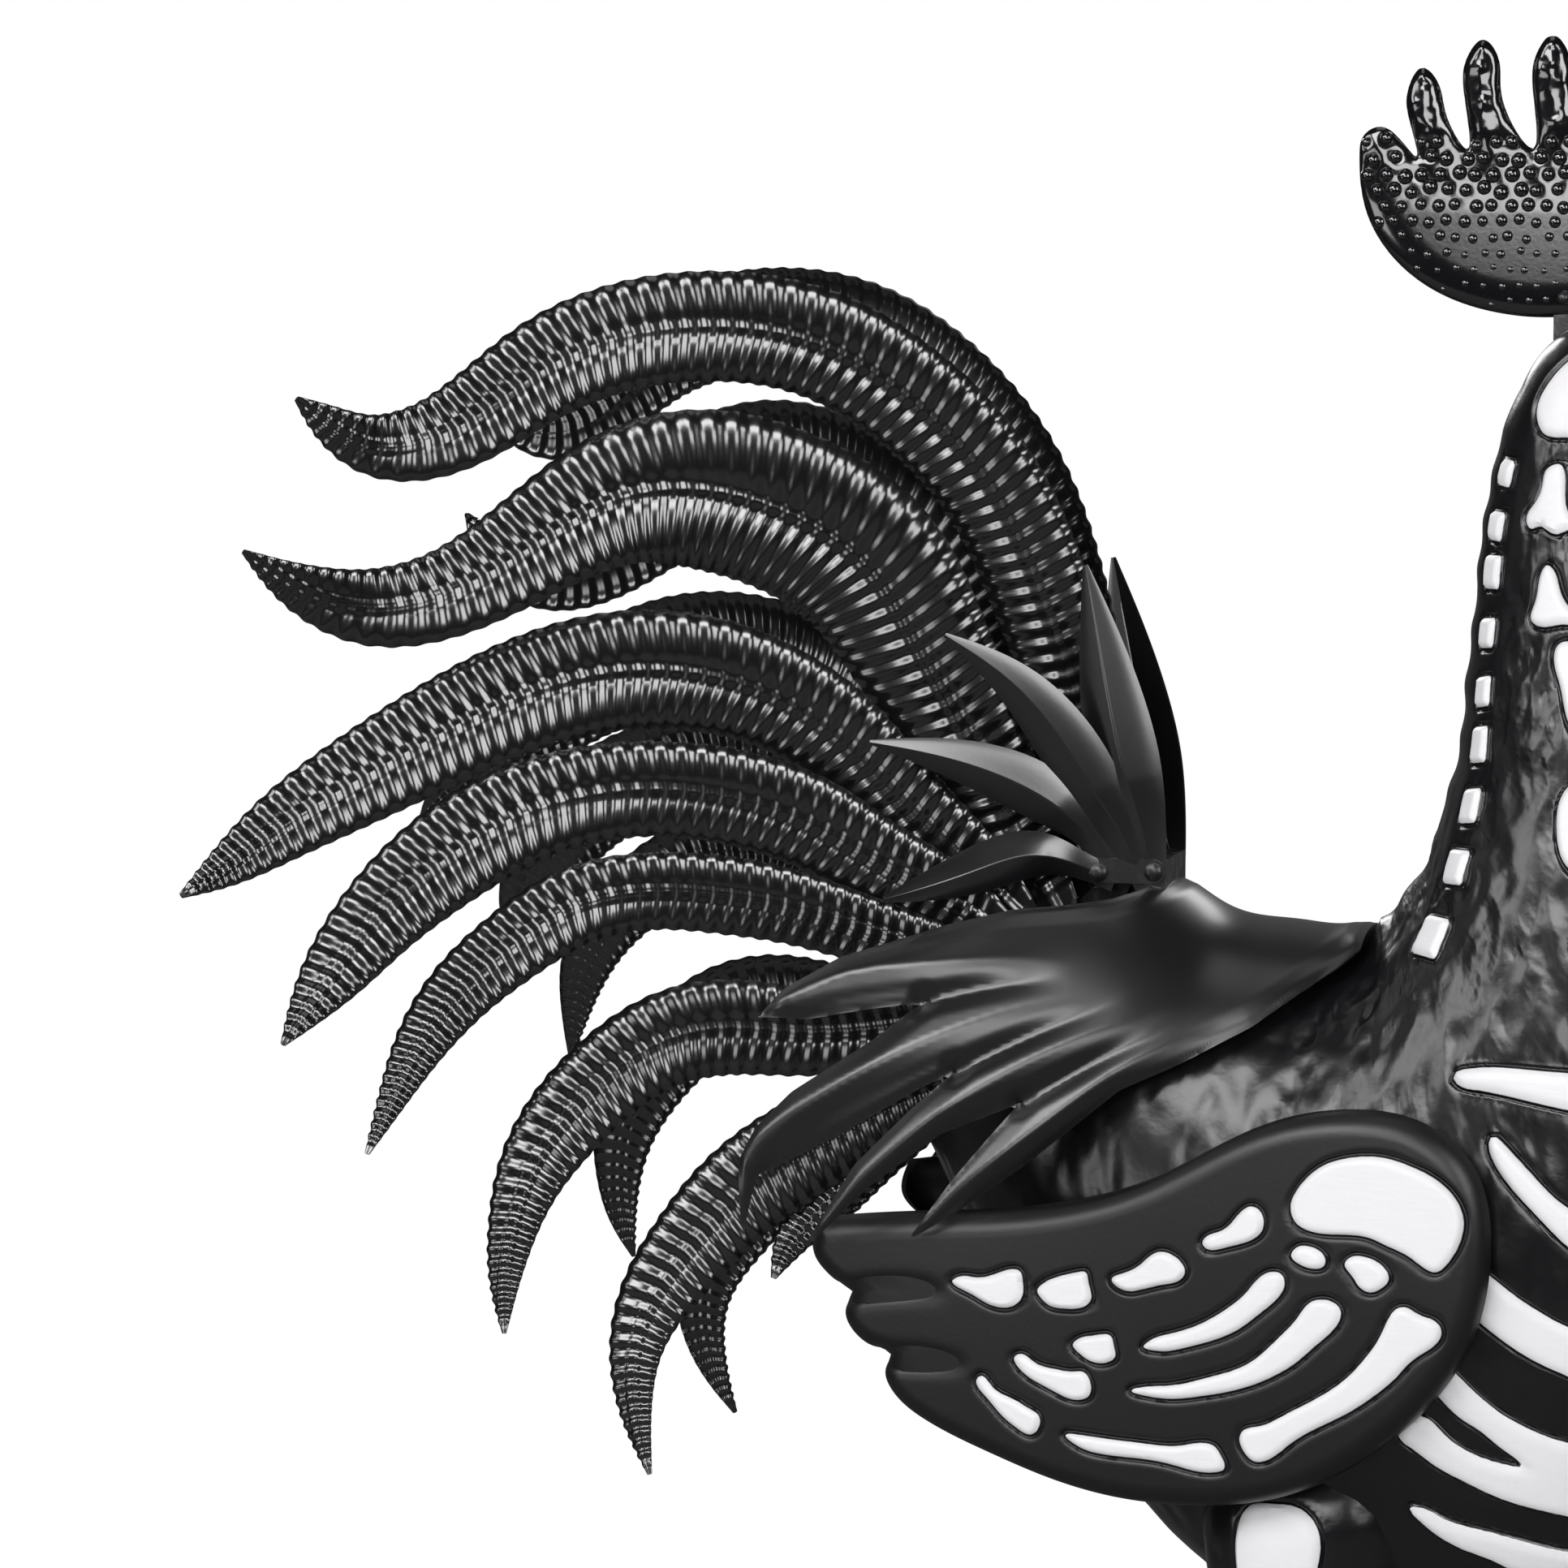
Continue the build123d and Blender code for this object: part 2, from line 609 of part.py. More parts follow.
with BuildPart() as tail_bracket:
    with BuildSketch(Plane.XZ.offset(-cheek_out - bracket_thickness)):
        with BuildLine():
            Polyline(
                (hub_x - hub_pad_radius * inward.Z, hub_z + hub_pad_radius * inward.X),
                (bulkhead_x, bracket_z + bracket_half_height),
                (bulkhead_x, bracket_z - bracket_half_height),
                (hub_x + hub_pad_radius * inward.Z, hub_z - hub_pad_radius * inward.X),
                close=True,
            )
        make_face()
        with Locations((hub_x, hub_z)):
            Circle(hub_pad_radius)
    extrude(amount=2 * (cheek_out + bracket_thickness))
    with BuildSketch(Plane.XZ.offset(-cheek_out)):
        with Locations((bulkhead_x - bracket_thickness, hub_z)):
            Rectangle(2 * body_half_width, 2 * body_half_width, align=(Align.MAX, Align.CENTER))
    extrude(amount=2 * cheek_out, mode=Mode.SUBTRACT)
    with BuildSketch(Plane.XZ):
        with Locations(*hub_spots):
            Circle(hub_bolt_radius + screw_clearance)
    extrude(amount=cheek_out + overrun, both=True, mode=Mode.SUBTRACT)
    with BuildSketch(Plane.YZ.offset(bulkhead_x)):
        with Locations(*bracket_screw_spots):
            Circle(screw_radius + screw_clearance)
    extrude(amount=-2 * bracket_thickness, mode=Mode.SUBTRACT)
keep("tail_bracket", tail_bracket.part)

hub_half_span = cheek_out + bracket_thickness
keep("tail_hub_bolts", cross_bolts(hub_spots, hub_half_span, hub_bolt_radius))
keep("tail_hub_nuts", cross_nuts(hub_spots, hub_half_span, hub_bolt_radius))

with BuildPart() as bracket_screws:
    with BuildSketch(Plane.YZ.offset(bulkhead_x + bulkhead_thickness)):
        with Locations(*bracket_screw_spots):
            Circle(head_radius)
    extrude(amount=head_height)
    with BuildSketch(Plane.YZ.offset(bulkhead_x + bulkhead_thickness)):
        with Locations(*bracket_screw_spots):
            Circle(screw_radius)
    extrude(amount=-bulkhead_thickness - bracket_thickness)
keep("bracket_screws", bracket_screws.part)

# Covert sprays: four folded blades on one base plate at each side
covert_length = 180.0
covert_width = 33.0
covert_steps = 8
covert_sheet = 1.2
covert_margin = 10.0
covert_ramp = 3.0
covert_blade_shares = [
    (0.12, [(0.02, 0.05, 0.50), (-0.07, 0.30, 0.90), (-0.15, 0.63, 0.68), (-0.21, 0.95, 0.06)]),
    (0.27, [(-0.07, 0.06, 0.50), (-0.19, 0.28, 1.00), (-0.37, 0.55, 0.82), (-0.60, 0.74, 0.06)]),
    (0.33, [(-0.15, 0.08, 0.40), (-0.30, 0.21, 0.90), (-0.53, 0.33, 0.80), (-0.82, 0.41, 0.06)]),
    (0.38, [(-0.22, 0.01, 0.45), (-0.36, 0.05, 0.78), (-0.54, 0.00, 0.76), (-0.77, -0.07, 0.06)]),
]
covert_x, covert_z = covert_spots[1]
with BuildPart() as covert_spray_right:
    for rise_share, rows in covert_blade_shares:
        law = Edge.make_spline([
            (covert_x + x * covert_length, covert_z + z * covert_length, width * covert_width)
            for x, z, width in rows
        ])
        rise = rise_share * covert_length
        for step in range(covert_steps + 1):
            share = step / covert_steps
            spot = law.position_at(share)
            run = law.tangent_at(share) * law.length
            along = Vector(run.X, -rise, run.Y).normalized()
            fold = feather_dome_share * spot.Z * max(root_dome_share, min(1, covert_ramp * share))
            plane = Plane(
                origin=(spot.X, -covert_out - rise * share, spot.Y),
                x_dir=(-along.Z, 0, along.X),
                z_dir=along,
            )
            with BuildSketch(plane):
                with BuildLine():
                    fold_outline(spot.Z / 2, fold, 2 * fold, covert_sheet)
                make_face()
        loft(ruled=True)
    with BuildSketch(Plane.XZ.offset(covert_out)):
        with Locations(((covert_x + covert_spots[0][0]) / 2, covert_z)):
            SlotCenterToCenter(covert_x - covert_spots[0][0], 2 * covert_margin)
    extrude(amount=covert_sheet)
    with BuildSketch(Plane.XZ):
        with Locations(*covert_spots):
            Circle(screw_radius + screw_clearance)
    extrude(amount=2 * covert_out, mode=Mode.SUBTRACT)
keep_pair("covert_spray", covert_spray_right.part)

covert_span = covert_out + covert_sheet
keep("covert_bolts", cross_bolts(covert_spots, covert_span, screw_radius))
keep("covert_nuts", cross_nuts(covert_spots, covert_span, screw_radius))

bracket_half_length = 7.0
with BuildPart() as covert_bracket:
    with BuildSketch(Plane.XZ):
        with Locations((covert_x, covert_z + bracket_half_length - overrun)):
            Rectangle(2 * bracket_half_length, 2 * overrun)
    extrude(amount=covert_out)
    add(body_clear, mode=Mode.SUBTRACT)
    mirror(about=Plane.XZ)
    with BuildSketch(Plane.XZ.offset(-covert_out)):
        with Locations(covert_spots[1]):
            Circle(screw_radius + screw_clearance)
    extrude(amount=2 * covert_out, mode=Mode.SUBTRACT)
keep("covert_bracket", covert_bracket.part)

spacer_wall = 1.5
dome_room = 3.0
first_outer = first_level + feather_sheet + dome_room
with BuildPart() as covert_spacers:
    for start, length in (
        (-first_level, 2 * first_level),
        (first_outer, covert_out - first_outer),
        (-covert_out, covert_out - first_outer),
    ):
        with BuildSketch(Plane.XZ.offset(start)):
            with Locations(covert_spots[0]):
                Circle(screw_radius + screw_clearance + spacer_wall)
                Circle(screw_radius + screw_clearance, mode=Mode.SUBTRACT)
        extrude(amount=length)
keep("covert_spacers", covert_spacers.part)

# Wings: a domed stamping with a turned rim and two notches at the rear
wing_rear_x, wing_base_z = on_body(-0.072, 0.1465)
wing_rear_out = 0.74 * body_half_width
wing_front_out = 1.075 * body_half_width
wing_dome = 25.0
wing_rim = 11.0
wing_tilt = math.asin((wing_front_out - wing_rear_out) / wing_length)
wing_dome_radius = (wing_length ** 2 / 4 + (wing_dome - wing_rim) ** 2) / (
    2 * (wing_dome - wing_rim)
)
wing_plane = Plane(
    origin=(wing_rear_x, -wing_rear_out, wing_base_z),
    x_dir=(math.cos(wing_tilt), -math.sin(wing_tilt), 0),
    z_dir=(-math.sin(wing_tilt), -math.cos(wing_tilt), 0),
)
wing_edge_shares = [
    (0.000, 0.640), (0.110, 0.665), (0.320, 0.705), (0.510, 0.800), (0.680, 0.955),
    (0.800, 1.000), (0.890, 0.985), (0.970, 0.890), (1.000, 0.680), (0.970, 0.430),
    (0.830, 0.150), (0.710, 0.040), (0.560, 0.000), (0.420, 0.020), (0.220, 0.135),
    (0.140, 0.200), (0.105, 0.255), (0.120, 0.300),
]
wing_middle_lobe_shares = [(0.120, 0.300), (0.070, 0.350), (0.050, 0.420), (0.070, 0.480)]
wing_upper_lobe_shares = [(0.070, 0.480), (0.030, 0.520), (0.000, 0.580), (0.000, 0.640)]
facet_length = 9.0


def wing_outline():
    """The wing's outline in short straight steps: one long edge and two rear lobes."""
    edge = []
    for shares in (wing_edge_shares, wing_middle_lobe_shares, wing_upper_lobe_shares):
        curve = Edge.make_spline([(x * wing_length, z * wing_height) for x, z in shares])
        count = round(curve.length / facet_length)
        edge += [curve.position_at(step / count) for step in range(count)]
    return edge


dome_place = wing_plane.location * Location(
    (wing_length / 2, wing_height / 2, wing_dome - wing_dome_radius)
)


def wing_form(inset):
    """The closed form under the wing, drawn in by the inset."""
    with BuildPart() as form:
        with BuildSketch(wing_plane):
            with BuildLine():
                Polyline(*wing_outline(), close=True)
            make_face()
            if inset:
                offset(amount=-inset, mode=Mode.REPLACE)
        extrude(amount=wing_dome)
        with Locations(dome_place):
            Sphere(wing_dome_radius - inset, mode=Mode.INTERSECT)
    return form.part


with BuildPart() as wing_right:
    add(wing_form(0))
    add(wing_form(wing_sheet), mode=Mode.SUBTRACT)
keep_pair("wing", wing_right.part)

# Studs between each wing and the side of the body
stud_radius = 5.0
stud_spots = [on_body(0.395, 0.30), on_body(0.530, 0.27), on_body(0.500, 0.36)]
with BuildPart() as wing_studs:
    with BuildSketch(Plane.XZ):
        with Locations(*stud_spots):
            Circle(stud_radius)
    extrude(amount=2 * body_half_width)
    with Locations(dome_place):
        Sphere(wing_dome_radius - wing_sheet - fit_gap, mode=Mode.INTERSECT)
    add(body_clear, mode=Mode.SUBTRACT)
    mirror(about=Plane.XZ)
keep("wing_studs", wing_studs.part)

# Thighs: hollow drumsticks against the lower body. Each row is a section: its
# height above the foot, its shift along the body, its length and its depth.
thigh_length = 122.0
thigh_depth = 92.0
thigh_wall = 1.2
thigh_top_z = on_body(0, 0.190)[1]
thigh_low_z = on_body(0, -0.100)[1]
thigh_station_shares = [
    (0.00, 0.00, 0.27, 0.35),
    (0.17, 0.04, 0.46, 0.52),
    (0.40, 0.11, 0.72, 0.76),
    (0.64, 0.13, 0.92, 0.95),
    (0.80, 0.15, 0.98, 0.98),
    (0.93, 0.19, 0.78, 0.72),
    (1.00, 0.20, 0.36, 0.30),
]


def thigh_form(inset):
    """The closed form of a thigh, drawn in by the inset."""
    with BuildPart() as form:
        for rise, shift, length, depth in thigh_station_shares:
            z = thigh_low_z + rise * (thigh_top_z - thigh_low_z)
            along = length * thigh_length / 2 - inset
            across = depth * thigh_depth / 2 - inset
            with BuildSketch(Plane((leg_x + shift * thigh_length, -leg_spread, z))):
                with BuildLine():
                    whole_ellipse(along, across)
                make_face()
        loft()
    return form.part


with BuildPart() as thigh_right:
    add(thigh_form(0))
    add(thigh_form(thigh_wall), mode=Mode.SUBTRACT)
    add(body_clear, mode=Mode.SUBTRACT)
keep_pair("thigh", thigh_right.part)

# Leg plate: a shelf inside the body that the two shanks are fixed to
collar_height = 10.0
leg_collar_radius = 18.0
with BuildPart() as leg_mount_plate:
    with BuildSketch(Plane.XY.offset(leg_plate_z)):
        with Locations((leg_x, 0)):
            Rectangle(4 * leg_collar_radius, 4 * body_half_width)
    extrude(amount=leg_plate_thickness)
    add(body_inside, mode=Mode.INTERSECT)
    mirror(about=Plane.XZ)
    with BuildSketch(Plane.XY.offset(leg_plate_z)):
        with Locations((leg_x, -leg_spread), (leg_x, leg_spread)):
            Circle(shank_radius + fit_gap)
    extrude(amount=leg_plate_thickness, mode=Mode.SUBTRACT)
keep("leg_mount_plate", leg_mount_plate.part)

with BuildPart() as leg_collars:
    for low_z in (leg_plate_z - collar_height, leg_plate_z + leg_plate_thickness):
        with BuildSketch(Plane.XY.offset(low_z)):
            with Locations((leg_x, -leg_spread), (leg_x, leg_spread)):
                Circle(leg_collar_radius)
                Circle(shank_radius + fit_gap, mode=Mode.SUBTRACT)
        extrude(amount=collar_height)
    add(body_inside, mode=Mode.INTERSECT)
    mirror(about=Plane.XZ)
keep("leg_collars", leg_collars.part)

# Shanks: tubes from the feet up through the thighs to the leg plate
socket_floor = 6.0
shank_top_z = leg_plate_z + leg_plate_thickness + collar_height
with BuildPart() as shank_right:
    with BuildSketch(Plane.XY.offset(socket_floor)):
        with Locations((leg_x, -leg_spread)):
            Circle(shank_radius)
            Circle(shank_radius - shank_wall, mode=Mode.SUBTRACT)
    extrude(amount=shank_top_z - socket_floor)
keep_pair("shank", shank_right.part)

# Feet: three toes forward and one back, flat below, round a socket
foot_height = 30.0
socket_wall = 7.0
toe_width = 20.0
toe_tip_width = 4.0
toe_taper_share = 0.67
toe_plan = [(0, 128.0), (38, 112.0), (-38, 112.0), (180, 108.0)]
toe_top_shares = [(0.00, 0.72), (0.22, 0.62), (0.45, 0.40), (0.62, 0.52), (0.82, 0.34),
                  (1.00, 0.05)]


def toe(turn, length):
    """One toe along its own direction from the socket."""
    ahead = Plane(
        origin=(leg_x, -leg_spread, 0),
        x_dir=(math.cos(math.radians(turn)), math.sin(math.radians(turn)), 0),
        z_dir=(math.sin(math.radians(turn)), -math.cos(math.radians(turn)), 0),
    )
    plan = Plane(origin=ahead.origin, x_dir=ahead.x_dir, z_dir=(0, 0, 1))
    with BuildPart() as bar:
        with BuildSketch(ahead.offset(-toe_width / 2)):
            with BuildLine():
                top = Spline([(x * length, z * foot_height) for x, z in toe_top_shares])
                Polyline(top @ 1, (length, 0), (0, 0), top @ 0)
            make_face()
        extrude(amount=toe_width)
        with BuildSketch(plan):
            with BuildLine():
                Polyline(
                    (0, toe_width / 2), (toe_taper_share * length, toe_width / 2),
                    (length, toe_tip_width / 2), (length, -toe_tip_width / 2),
                    (toe_taper_share * length, -toe_width / 2), (0, -toe_width / 2), close=True,
                )
            make_face()
        extrude(amount=foot_height, mode=Mode.INTERSECT)
    return bar.part


with BuildPart() as foot_right:
    with BuildSketch(Plane.XY):
        with Locations((leg_x, -leg_spread)):
            Circle(shank_radius + socket_wall)
    extrude(amount=foot_height)
    for turn, length in toe_plan:
        add(toe(turn, length))
    with BuildSketch(Plane.XY.offset(socket_floor)):
        with Locations((leg_x, -leg_spread)):
            Circle(shank_radius + fit_gap)
    extrude(amount=foot_height, mode=Mode.SUBTRACT)
keep_pair("foot", foot_right.part)
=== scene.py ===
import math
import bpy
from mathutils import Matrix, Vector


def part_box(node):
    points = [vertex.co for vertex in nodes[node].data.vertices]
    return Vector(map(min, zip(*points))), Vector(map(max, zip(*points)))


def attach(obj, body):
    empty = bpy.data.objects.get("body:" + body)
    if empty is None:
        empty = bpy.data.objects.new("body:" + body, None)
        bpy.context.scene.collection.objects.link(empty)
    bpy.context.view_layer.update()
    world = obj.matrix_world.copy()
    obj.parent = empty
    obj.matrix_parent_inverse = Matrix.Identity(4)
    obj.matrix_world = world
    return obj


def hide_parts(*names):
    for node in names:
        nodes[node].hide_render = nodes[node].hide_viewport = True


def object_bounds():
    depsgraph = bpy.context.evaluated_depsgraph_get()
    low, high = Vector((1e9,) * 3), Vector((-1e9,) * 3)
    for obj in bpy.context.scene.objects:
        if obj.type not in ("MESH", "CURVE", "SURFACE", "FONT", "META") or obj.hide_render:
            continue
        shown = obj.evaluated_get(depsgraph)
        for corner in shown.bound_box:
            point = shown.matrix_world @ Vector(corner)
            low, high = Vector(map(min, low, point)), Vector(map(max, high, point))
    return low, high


bl_info = {
    "name": "Sheet-metal rooster",
    "version": (1, 0, 0),
    "blender": (4, 5, 0),
    "location": "View3D > Sidebar > Rooster",
    "description": "Dresses the packed frame of a painted sheet-metal garden rooster",
    "category": "Object",
}

import bmesh
import bpy
import numpy as np
from bpy.props import FloatProperty, FloatVectorProperty, PointerProperty
from mathutils import Vector
from mathutils.kdtree import KDTree

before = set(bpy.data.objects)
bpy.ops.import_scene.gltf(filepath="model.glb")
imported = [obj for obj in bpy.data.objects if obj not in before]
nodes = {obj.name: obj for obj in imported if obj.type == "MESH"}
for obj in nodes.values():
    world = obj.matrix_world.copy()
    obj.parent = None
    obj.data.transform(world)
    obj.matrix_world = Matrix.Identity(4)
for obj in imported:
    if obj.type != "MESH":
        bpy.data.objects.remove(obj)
cad_box = [list(corner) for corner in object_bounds()]

# Places in the side view are shares of the body's length and height
body_length, body_tall = 0.543, 0.744
body_half_width = 0.130
body_rear_x, belly_height = -0.084, 0.320
RIGHT, LEFT = -1, 1
weld_distance = 0.00001


def on_body(shares):
    """Shares of the body's length and height as metres, X and Z in the first two columns."""
    placed = np.array(shares, float)
    placed[..., 0] = body_rear_x + placed[..., 0] * body_length
    placed[..., 1] = belly_height + placed[..., 1] * body_tall
    return placed


# Sizes and paints


def length_prop(name, description, default, low, high):
    return FloatProperty(name=name, description=description, default=default, min=low, max=high,
                         unit="LENGTH")


def paint_prop(name, description, default):
    return FloatVectorProperty(name=name, description=description, default=default,
                               subtype="COLOR", size=3, min=0.0, max=1.0)


class RoosterSizes(bpy.types.PropertyGroup):
    sheet: length_prop("Sheet", "Thickness of the pressed sheet", 0.0012, 0.0005, 0.004)
    dent_depth: length_prop("Dent depth", "Depth of the hammered dents on the body",
                            0.00075, 0.0, 0.004)
    dent_size: length_prop("Dent size", "Usual distance between two hammered dents",
                           0.0135, 0.005, 0.05)
    bone_rise: length_prop("Bone rise", "How far a bone stands out of the sheet",
                           0.0022, 0.0, 0.006)
    groove_depth: length_prop("Groove depth", "Depth of the pressed line round a bone",
                              0.0013, 0.0, 0.004)
    rib_pitch: length_prop("Rib pitch", "Distance between two cross ribs of a tail feather",
                           0.0100, 0.004, 0.02)
    rib_height: length_prop("Rib height", "Height of the cross ribs of a tail feather",
                            0.00062, 0.0, 0.003)
    bump_radius: length_prop("Bump radius", "Radius of the largest bumps on the comb",
                             0.0047, 0.001, 0.008)
    stage_radius: length_prop("Floor radius", "Radius of the pale floor", 1.9, 0.5, 5.0)


class RoosterPaints(bpy.types.PropertyGroup):
    black: paint_prop("Black paint", "Base colour of body, wings and comb",
                      (0.0048, 0.0044, 0.0054))
    feather: paint_prop("Feather paint", "Base colour of the tail feathers",
                        (0.0050, 0.0045, 0.0048))
    bone: paint_prop("Bone paint", "White of the painted bones", (0.72, 0.71, 0.73))
    steel: paint_prop("Steel", "Plain steel inside the bird", (0.36, 0.36, 0.37))
    floor: paint_prop("Floor", "Pale floor", (0.80, 0.80, 0.80))


# Curves and grids


class SmoothCurve:
    """A smooth curve through given rows of any width."""

    def __init__(self, rows):
        self.rows = np.asarray(rows, float)
        self.gaps = np.linalg.norm(np.diff(self.rows, axis=0), axis=1)
        self.knots = np.concatenate([[0], np.cumsum(self.gaps)])
        count = len(self.rows)
        system = np.eye(count)
        slopes = np.diff(self.rows, axis=0) / self.gaps[:, None]
        right = np.zeros_like(self.rows)
        for row in range(1, count - 1):
            before, after = self.gaps[row - 1], self.gaps[row]
            system[row, row - 1:row + 2] = before, 2 * (before + after), after
            right[row] = 6 * (slopes[row] - slopes[row - 1])
        self.bends = np.linalg.solve(system, right)

    def at(self, places):
        """Points at places measured along the knots."""
        places = np.asarray(places, float)
        span = np.clip(np.searchsorted(self.knots, places, "right") - 1, 0, len(self.gaps) - 1)
        gap = self.gaps[span][:, None]
        after = (places - self.knots[span])[:, None] / gap
        before = 1 - after
        bend = ((before ** 3 - before) * self.bends[span]
                + (after ** 3 - after) * self.bends[span + 1])
        return before * self.rows[span] + after * self.rows[span + 1] + bend * gap ** 2 / 6

    def even(self, count, measure=None):
        """Points at even distances, or at even steps of a measure of a step between points."""
        places = np.linspace(0, self.knots[-1], 40 * len(self.rows))
        steps = np.diff(self.at(places), axis=0)
        lengths = np.linalg.norm(steps, axis=1) if measure is None else measure(steps)
        run = np.concatenate([[0], np.cumsum(lengths)])
        return self.at(np.interp(np.linspace(0, run[-1], count), run, places))


def closed_curve(rows, count):
    """Points at even distances round a closed smooth outline."""
    rows = np.asarray(rows, float)
    wrapped = SmoothCurve(np.concatenate([rows[-3:], rows, rows[:4]]))
    places = np.linspace(wrapped.knots[3], wrapped.knots[3 + len(rows)], 24 * len(rows) + 1)
    points = wrapped.at(places)
    run = np.concatenate([[0], np.cumsum(np.linalg.norm(np.diff(points, axis=0), axis=1))])
    return wrapped.at(np.interp(np.linspace(0, run[-1], count + 1)[:-1], run, places))


def inside_distance(points, outline, reach):
    """Distance from a closed outline, positive inside and held at -reach far outside."""
    result = np.full(len(points), -reach)
    near = np.all((points > outline.min(0) - reach) & (points < outline.max(0) + reach), axis=1)
    if not near.any():
        return result
    spot = points[near][:, None, :]
    start = outline[None]
    along = np.roll(outline, -1, 0)[None] - start
    share = np.clip(((spot - start) * along).sum(2) / (along ** 2).sum(2), 0, 1)
    gap = np.linalg.norm(spot - start - along * share[..., None], axis=2).min(1)
    spans = (start[..., 1] > spot[..., 1]) != (start[..., 1] + along[..., 1] > spot[..., 1])
    rise = np.where(along[..., 1] == 0, 1, along[..., 1])
    crossing = start[..., 0] + (spot[..., 1] - start[..., 1]) * along[..., 0] / rise
    inside = (spans & (spot[..., 0] < crossing)).sum(1) % 2 == 1
    result[near] = np.maximum(np.where(inside, gap, -gap), -reach)
    return result


def line_distance(points, line):
    """Distance from an open line and the share of the way along it."""
    start, along = line[:-1][None], np.diff(line, axis=0)[None]
    spot = points[:, None, :]
    share = np.clip(((spot - start) * along).sum(2) / (along ** 2).sum(2), 0, 1)
    gaps = np.linalg.norm(spot - start - along * share[..., None], axis=2)
    best = gaps.argmin(1)
    rows = np.arange(len(points))
    return gaps[rows, best], (best + share[rows, best]) / (len(line) - 1)


def smooth_step(values, low, high):
    share = np.clip((values - low) / (high - low), 0, 1)
    return share * share * (3 - 2 * share)


def grid_faces(rows, columns, closed=False):
    """Quads of a grid whose points run column by column in each row."""
    across = columns if closed else columns - 1
    row, column = np.meshgrid(np.arange(rows - 1), np.arange(across), indexing="ij")
    after = (column + 1) % columns
    quads = np.stack(
        [row * columns + column, row * columns + after,
         (row + 1) * columns + after, (row + 1) * columns + column], axis=-1)
    return quads.reshape(-1, 4)


def grid_normals(points, closed=False):
    """Unit normals of a grid of points, along the rows' step crossed with the columns' step."""
    down = np.gradient(points, axis=0)
    if closed:
        across = (np.roll(points, -1, 1) - np.roll(points, 1, 1)) / 2
    else:
        across = np.gradient(points, axis=1)
    normals = np.cross(across, down)
    return normals / np.maximum(np.linalg.norm(normals, axis=2, keepdims=True), 1e-12)


def walled(grid, inner, step):
    """Close a fine outer grid with a coarse inner one that keeps every step-th row and column."""
    rows, columns = grid.shape[:2]
    number = np.arange(rows * columns).reshape(rows, columns)
    coarse = inner[::step, ::step]
    inner_number = number.size + np.arange(coarse.shape[0] * coarse.shape[1]).reshape(
        coarse.shape[:2])
    faces = grid_faces(rows, columns).tolist()
    faces += (grid_faces(*coarse.shape[:2])[:, ::-1] + number.size).tolist()
    rims = ((number[0], inner_number[0], 1), (number[-1], inner_number[-1], -1),
            (number[:, 0], inner_number[:, 0], -1), (number[:, -1], inner_number[:, -1], 1))
    for edge, inside, way in rims:
        for place in range(len(inside) - 1):
            outer = edge[place * step:(place + 1) * step + 1].tolist()
            face = outer[::-1] + [inside[place], inside[place + 1]]
            faces.append(face if way > 0 else face[::-1])
    points = np.concatenate([grid.reshape(-1, grid.shape[-1]), coarse.reshape(-1, grid.shape[-1])])
    return points, faces


def trimmed(grid, keep):
    """Cut a grid of points, with any further columns, where keep falls below zero."""
    rows, columns = keep.shape
    flat = grid.reshape(rows * columns, -1)
    levels = keep.ravel()
    inside = levels > 0
    values = [flat[inside]]
    number = np.full(len(levels), -1)
    number[inside] = np.arange(inside.sum())
    cells = grid_faces(rows, columns)
    count = inside[cells].sum(1)
    faces = [tuple(cell) for cell in number[cells[count == 4]]]
    crossings, extra, next_number = {}, [], int(inside.sum())
    for cell in cells[(count > 0) & (count < 4)]:
        face = []
        for here, there in zip(cell, np.roll(cell, -1)):
            if inside[here]:
                face.append(number[here])
            if inside[here] != inside[there]:
                key = (min(here, there), max(here, there))
                if key not in crossings:
                    share = levels[key[0]] / (levels[key[0]] - levels[key[1]])
                    extra.append(flat[key[0]] * (1 - share) + flat[key[1]] * share)
                    crossings[key] = next_number
                    next_number += 1
                face.append(crossings[key])
        if len(face) > 2:
            faces.append(tuple(face))
    if extra:
        values.append(np.array(extra))
    return np.concatenate(values), faces


def circle(count):
    """Even angles of one full turn."""
    return np.linspace(0, 2 * math.pi, count + 1)[:-1]


def tube(grid):
    """Points and faces of a closed grid, with a flat cap on its first and last ring."""
    rows, columns = grid.shape[:2]
    faces = grid_faces(rows, columns, closed=True).tolist()
    faces += [list(range(columns)), list(range((rows - 1) * columns, rows * columns))]
    return grid.reshape(-1, 3), faces


def joined(parts):
    """Several pairs of points and faces as one pair."""
    points, faces, start = [], [], 0
    for some_points, some_faces in parts:
        faces += [tuple(index + start for index in face) for face in some_faces]
        points.append(some_points)
        start += len(some_points)
    return np.concatenate(points), faces


def on_side(points, faces, side):
    """Right-hand points and faces, or their mirror image."""
    points = np.array(points, float)
    if side == LEFT:
        points[..., 1] *= -1
        faces = [face[::-1] for face in faces]
    return points, faces


def side_name(side):
    return "right" if side == RIGHT else "left"


def set_field(mesh, name, values, kind="FLOAT"):
    """Store a number or a vector with every point of a mesh."""
    layer = mesh.attributes.new(name, kind, "POINT")
    layer.data.foreach_set("vector" if kind == "FLOAT_VECTOR" else "value",
                           np.asarray(values, np.float32).ravel())


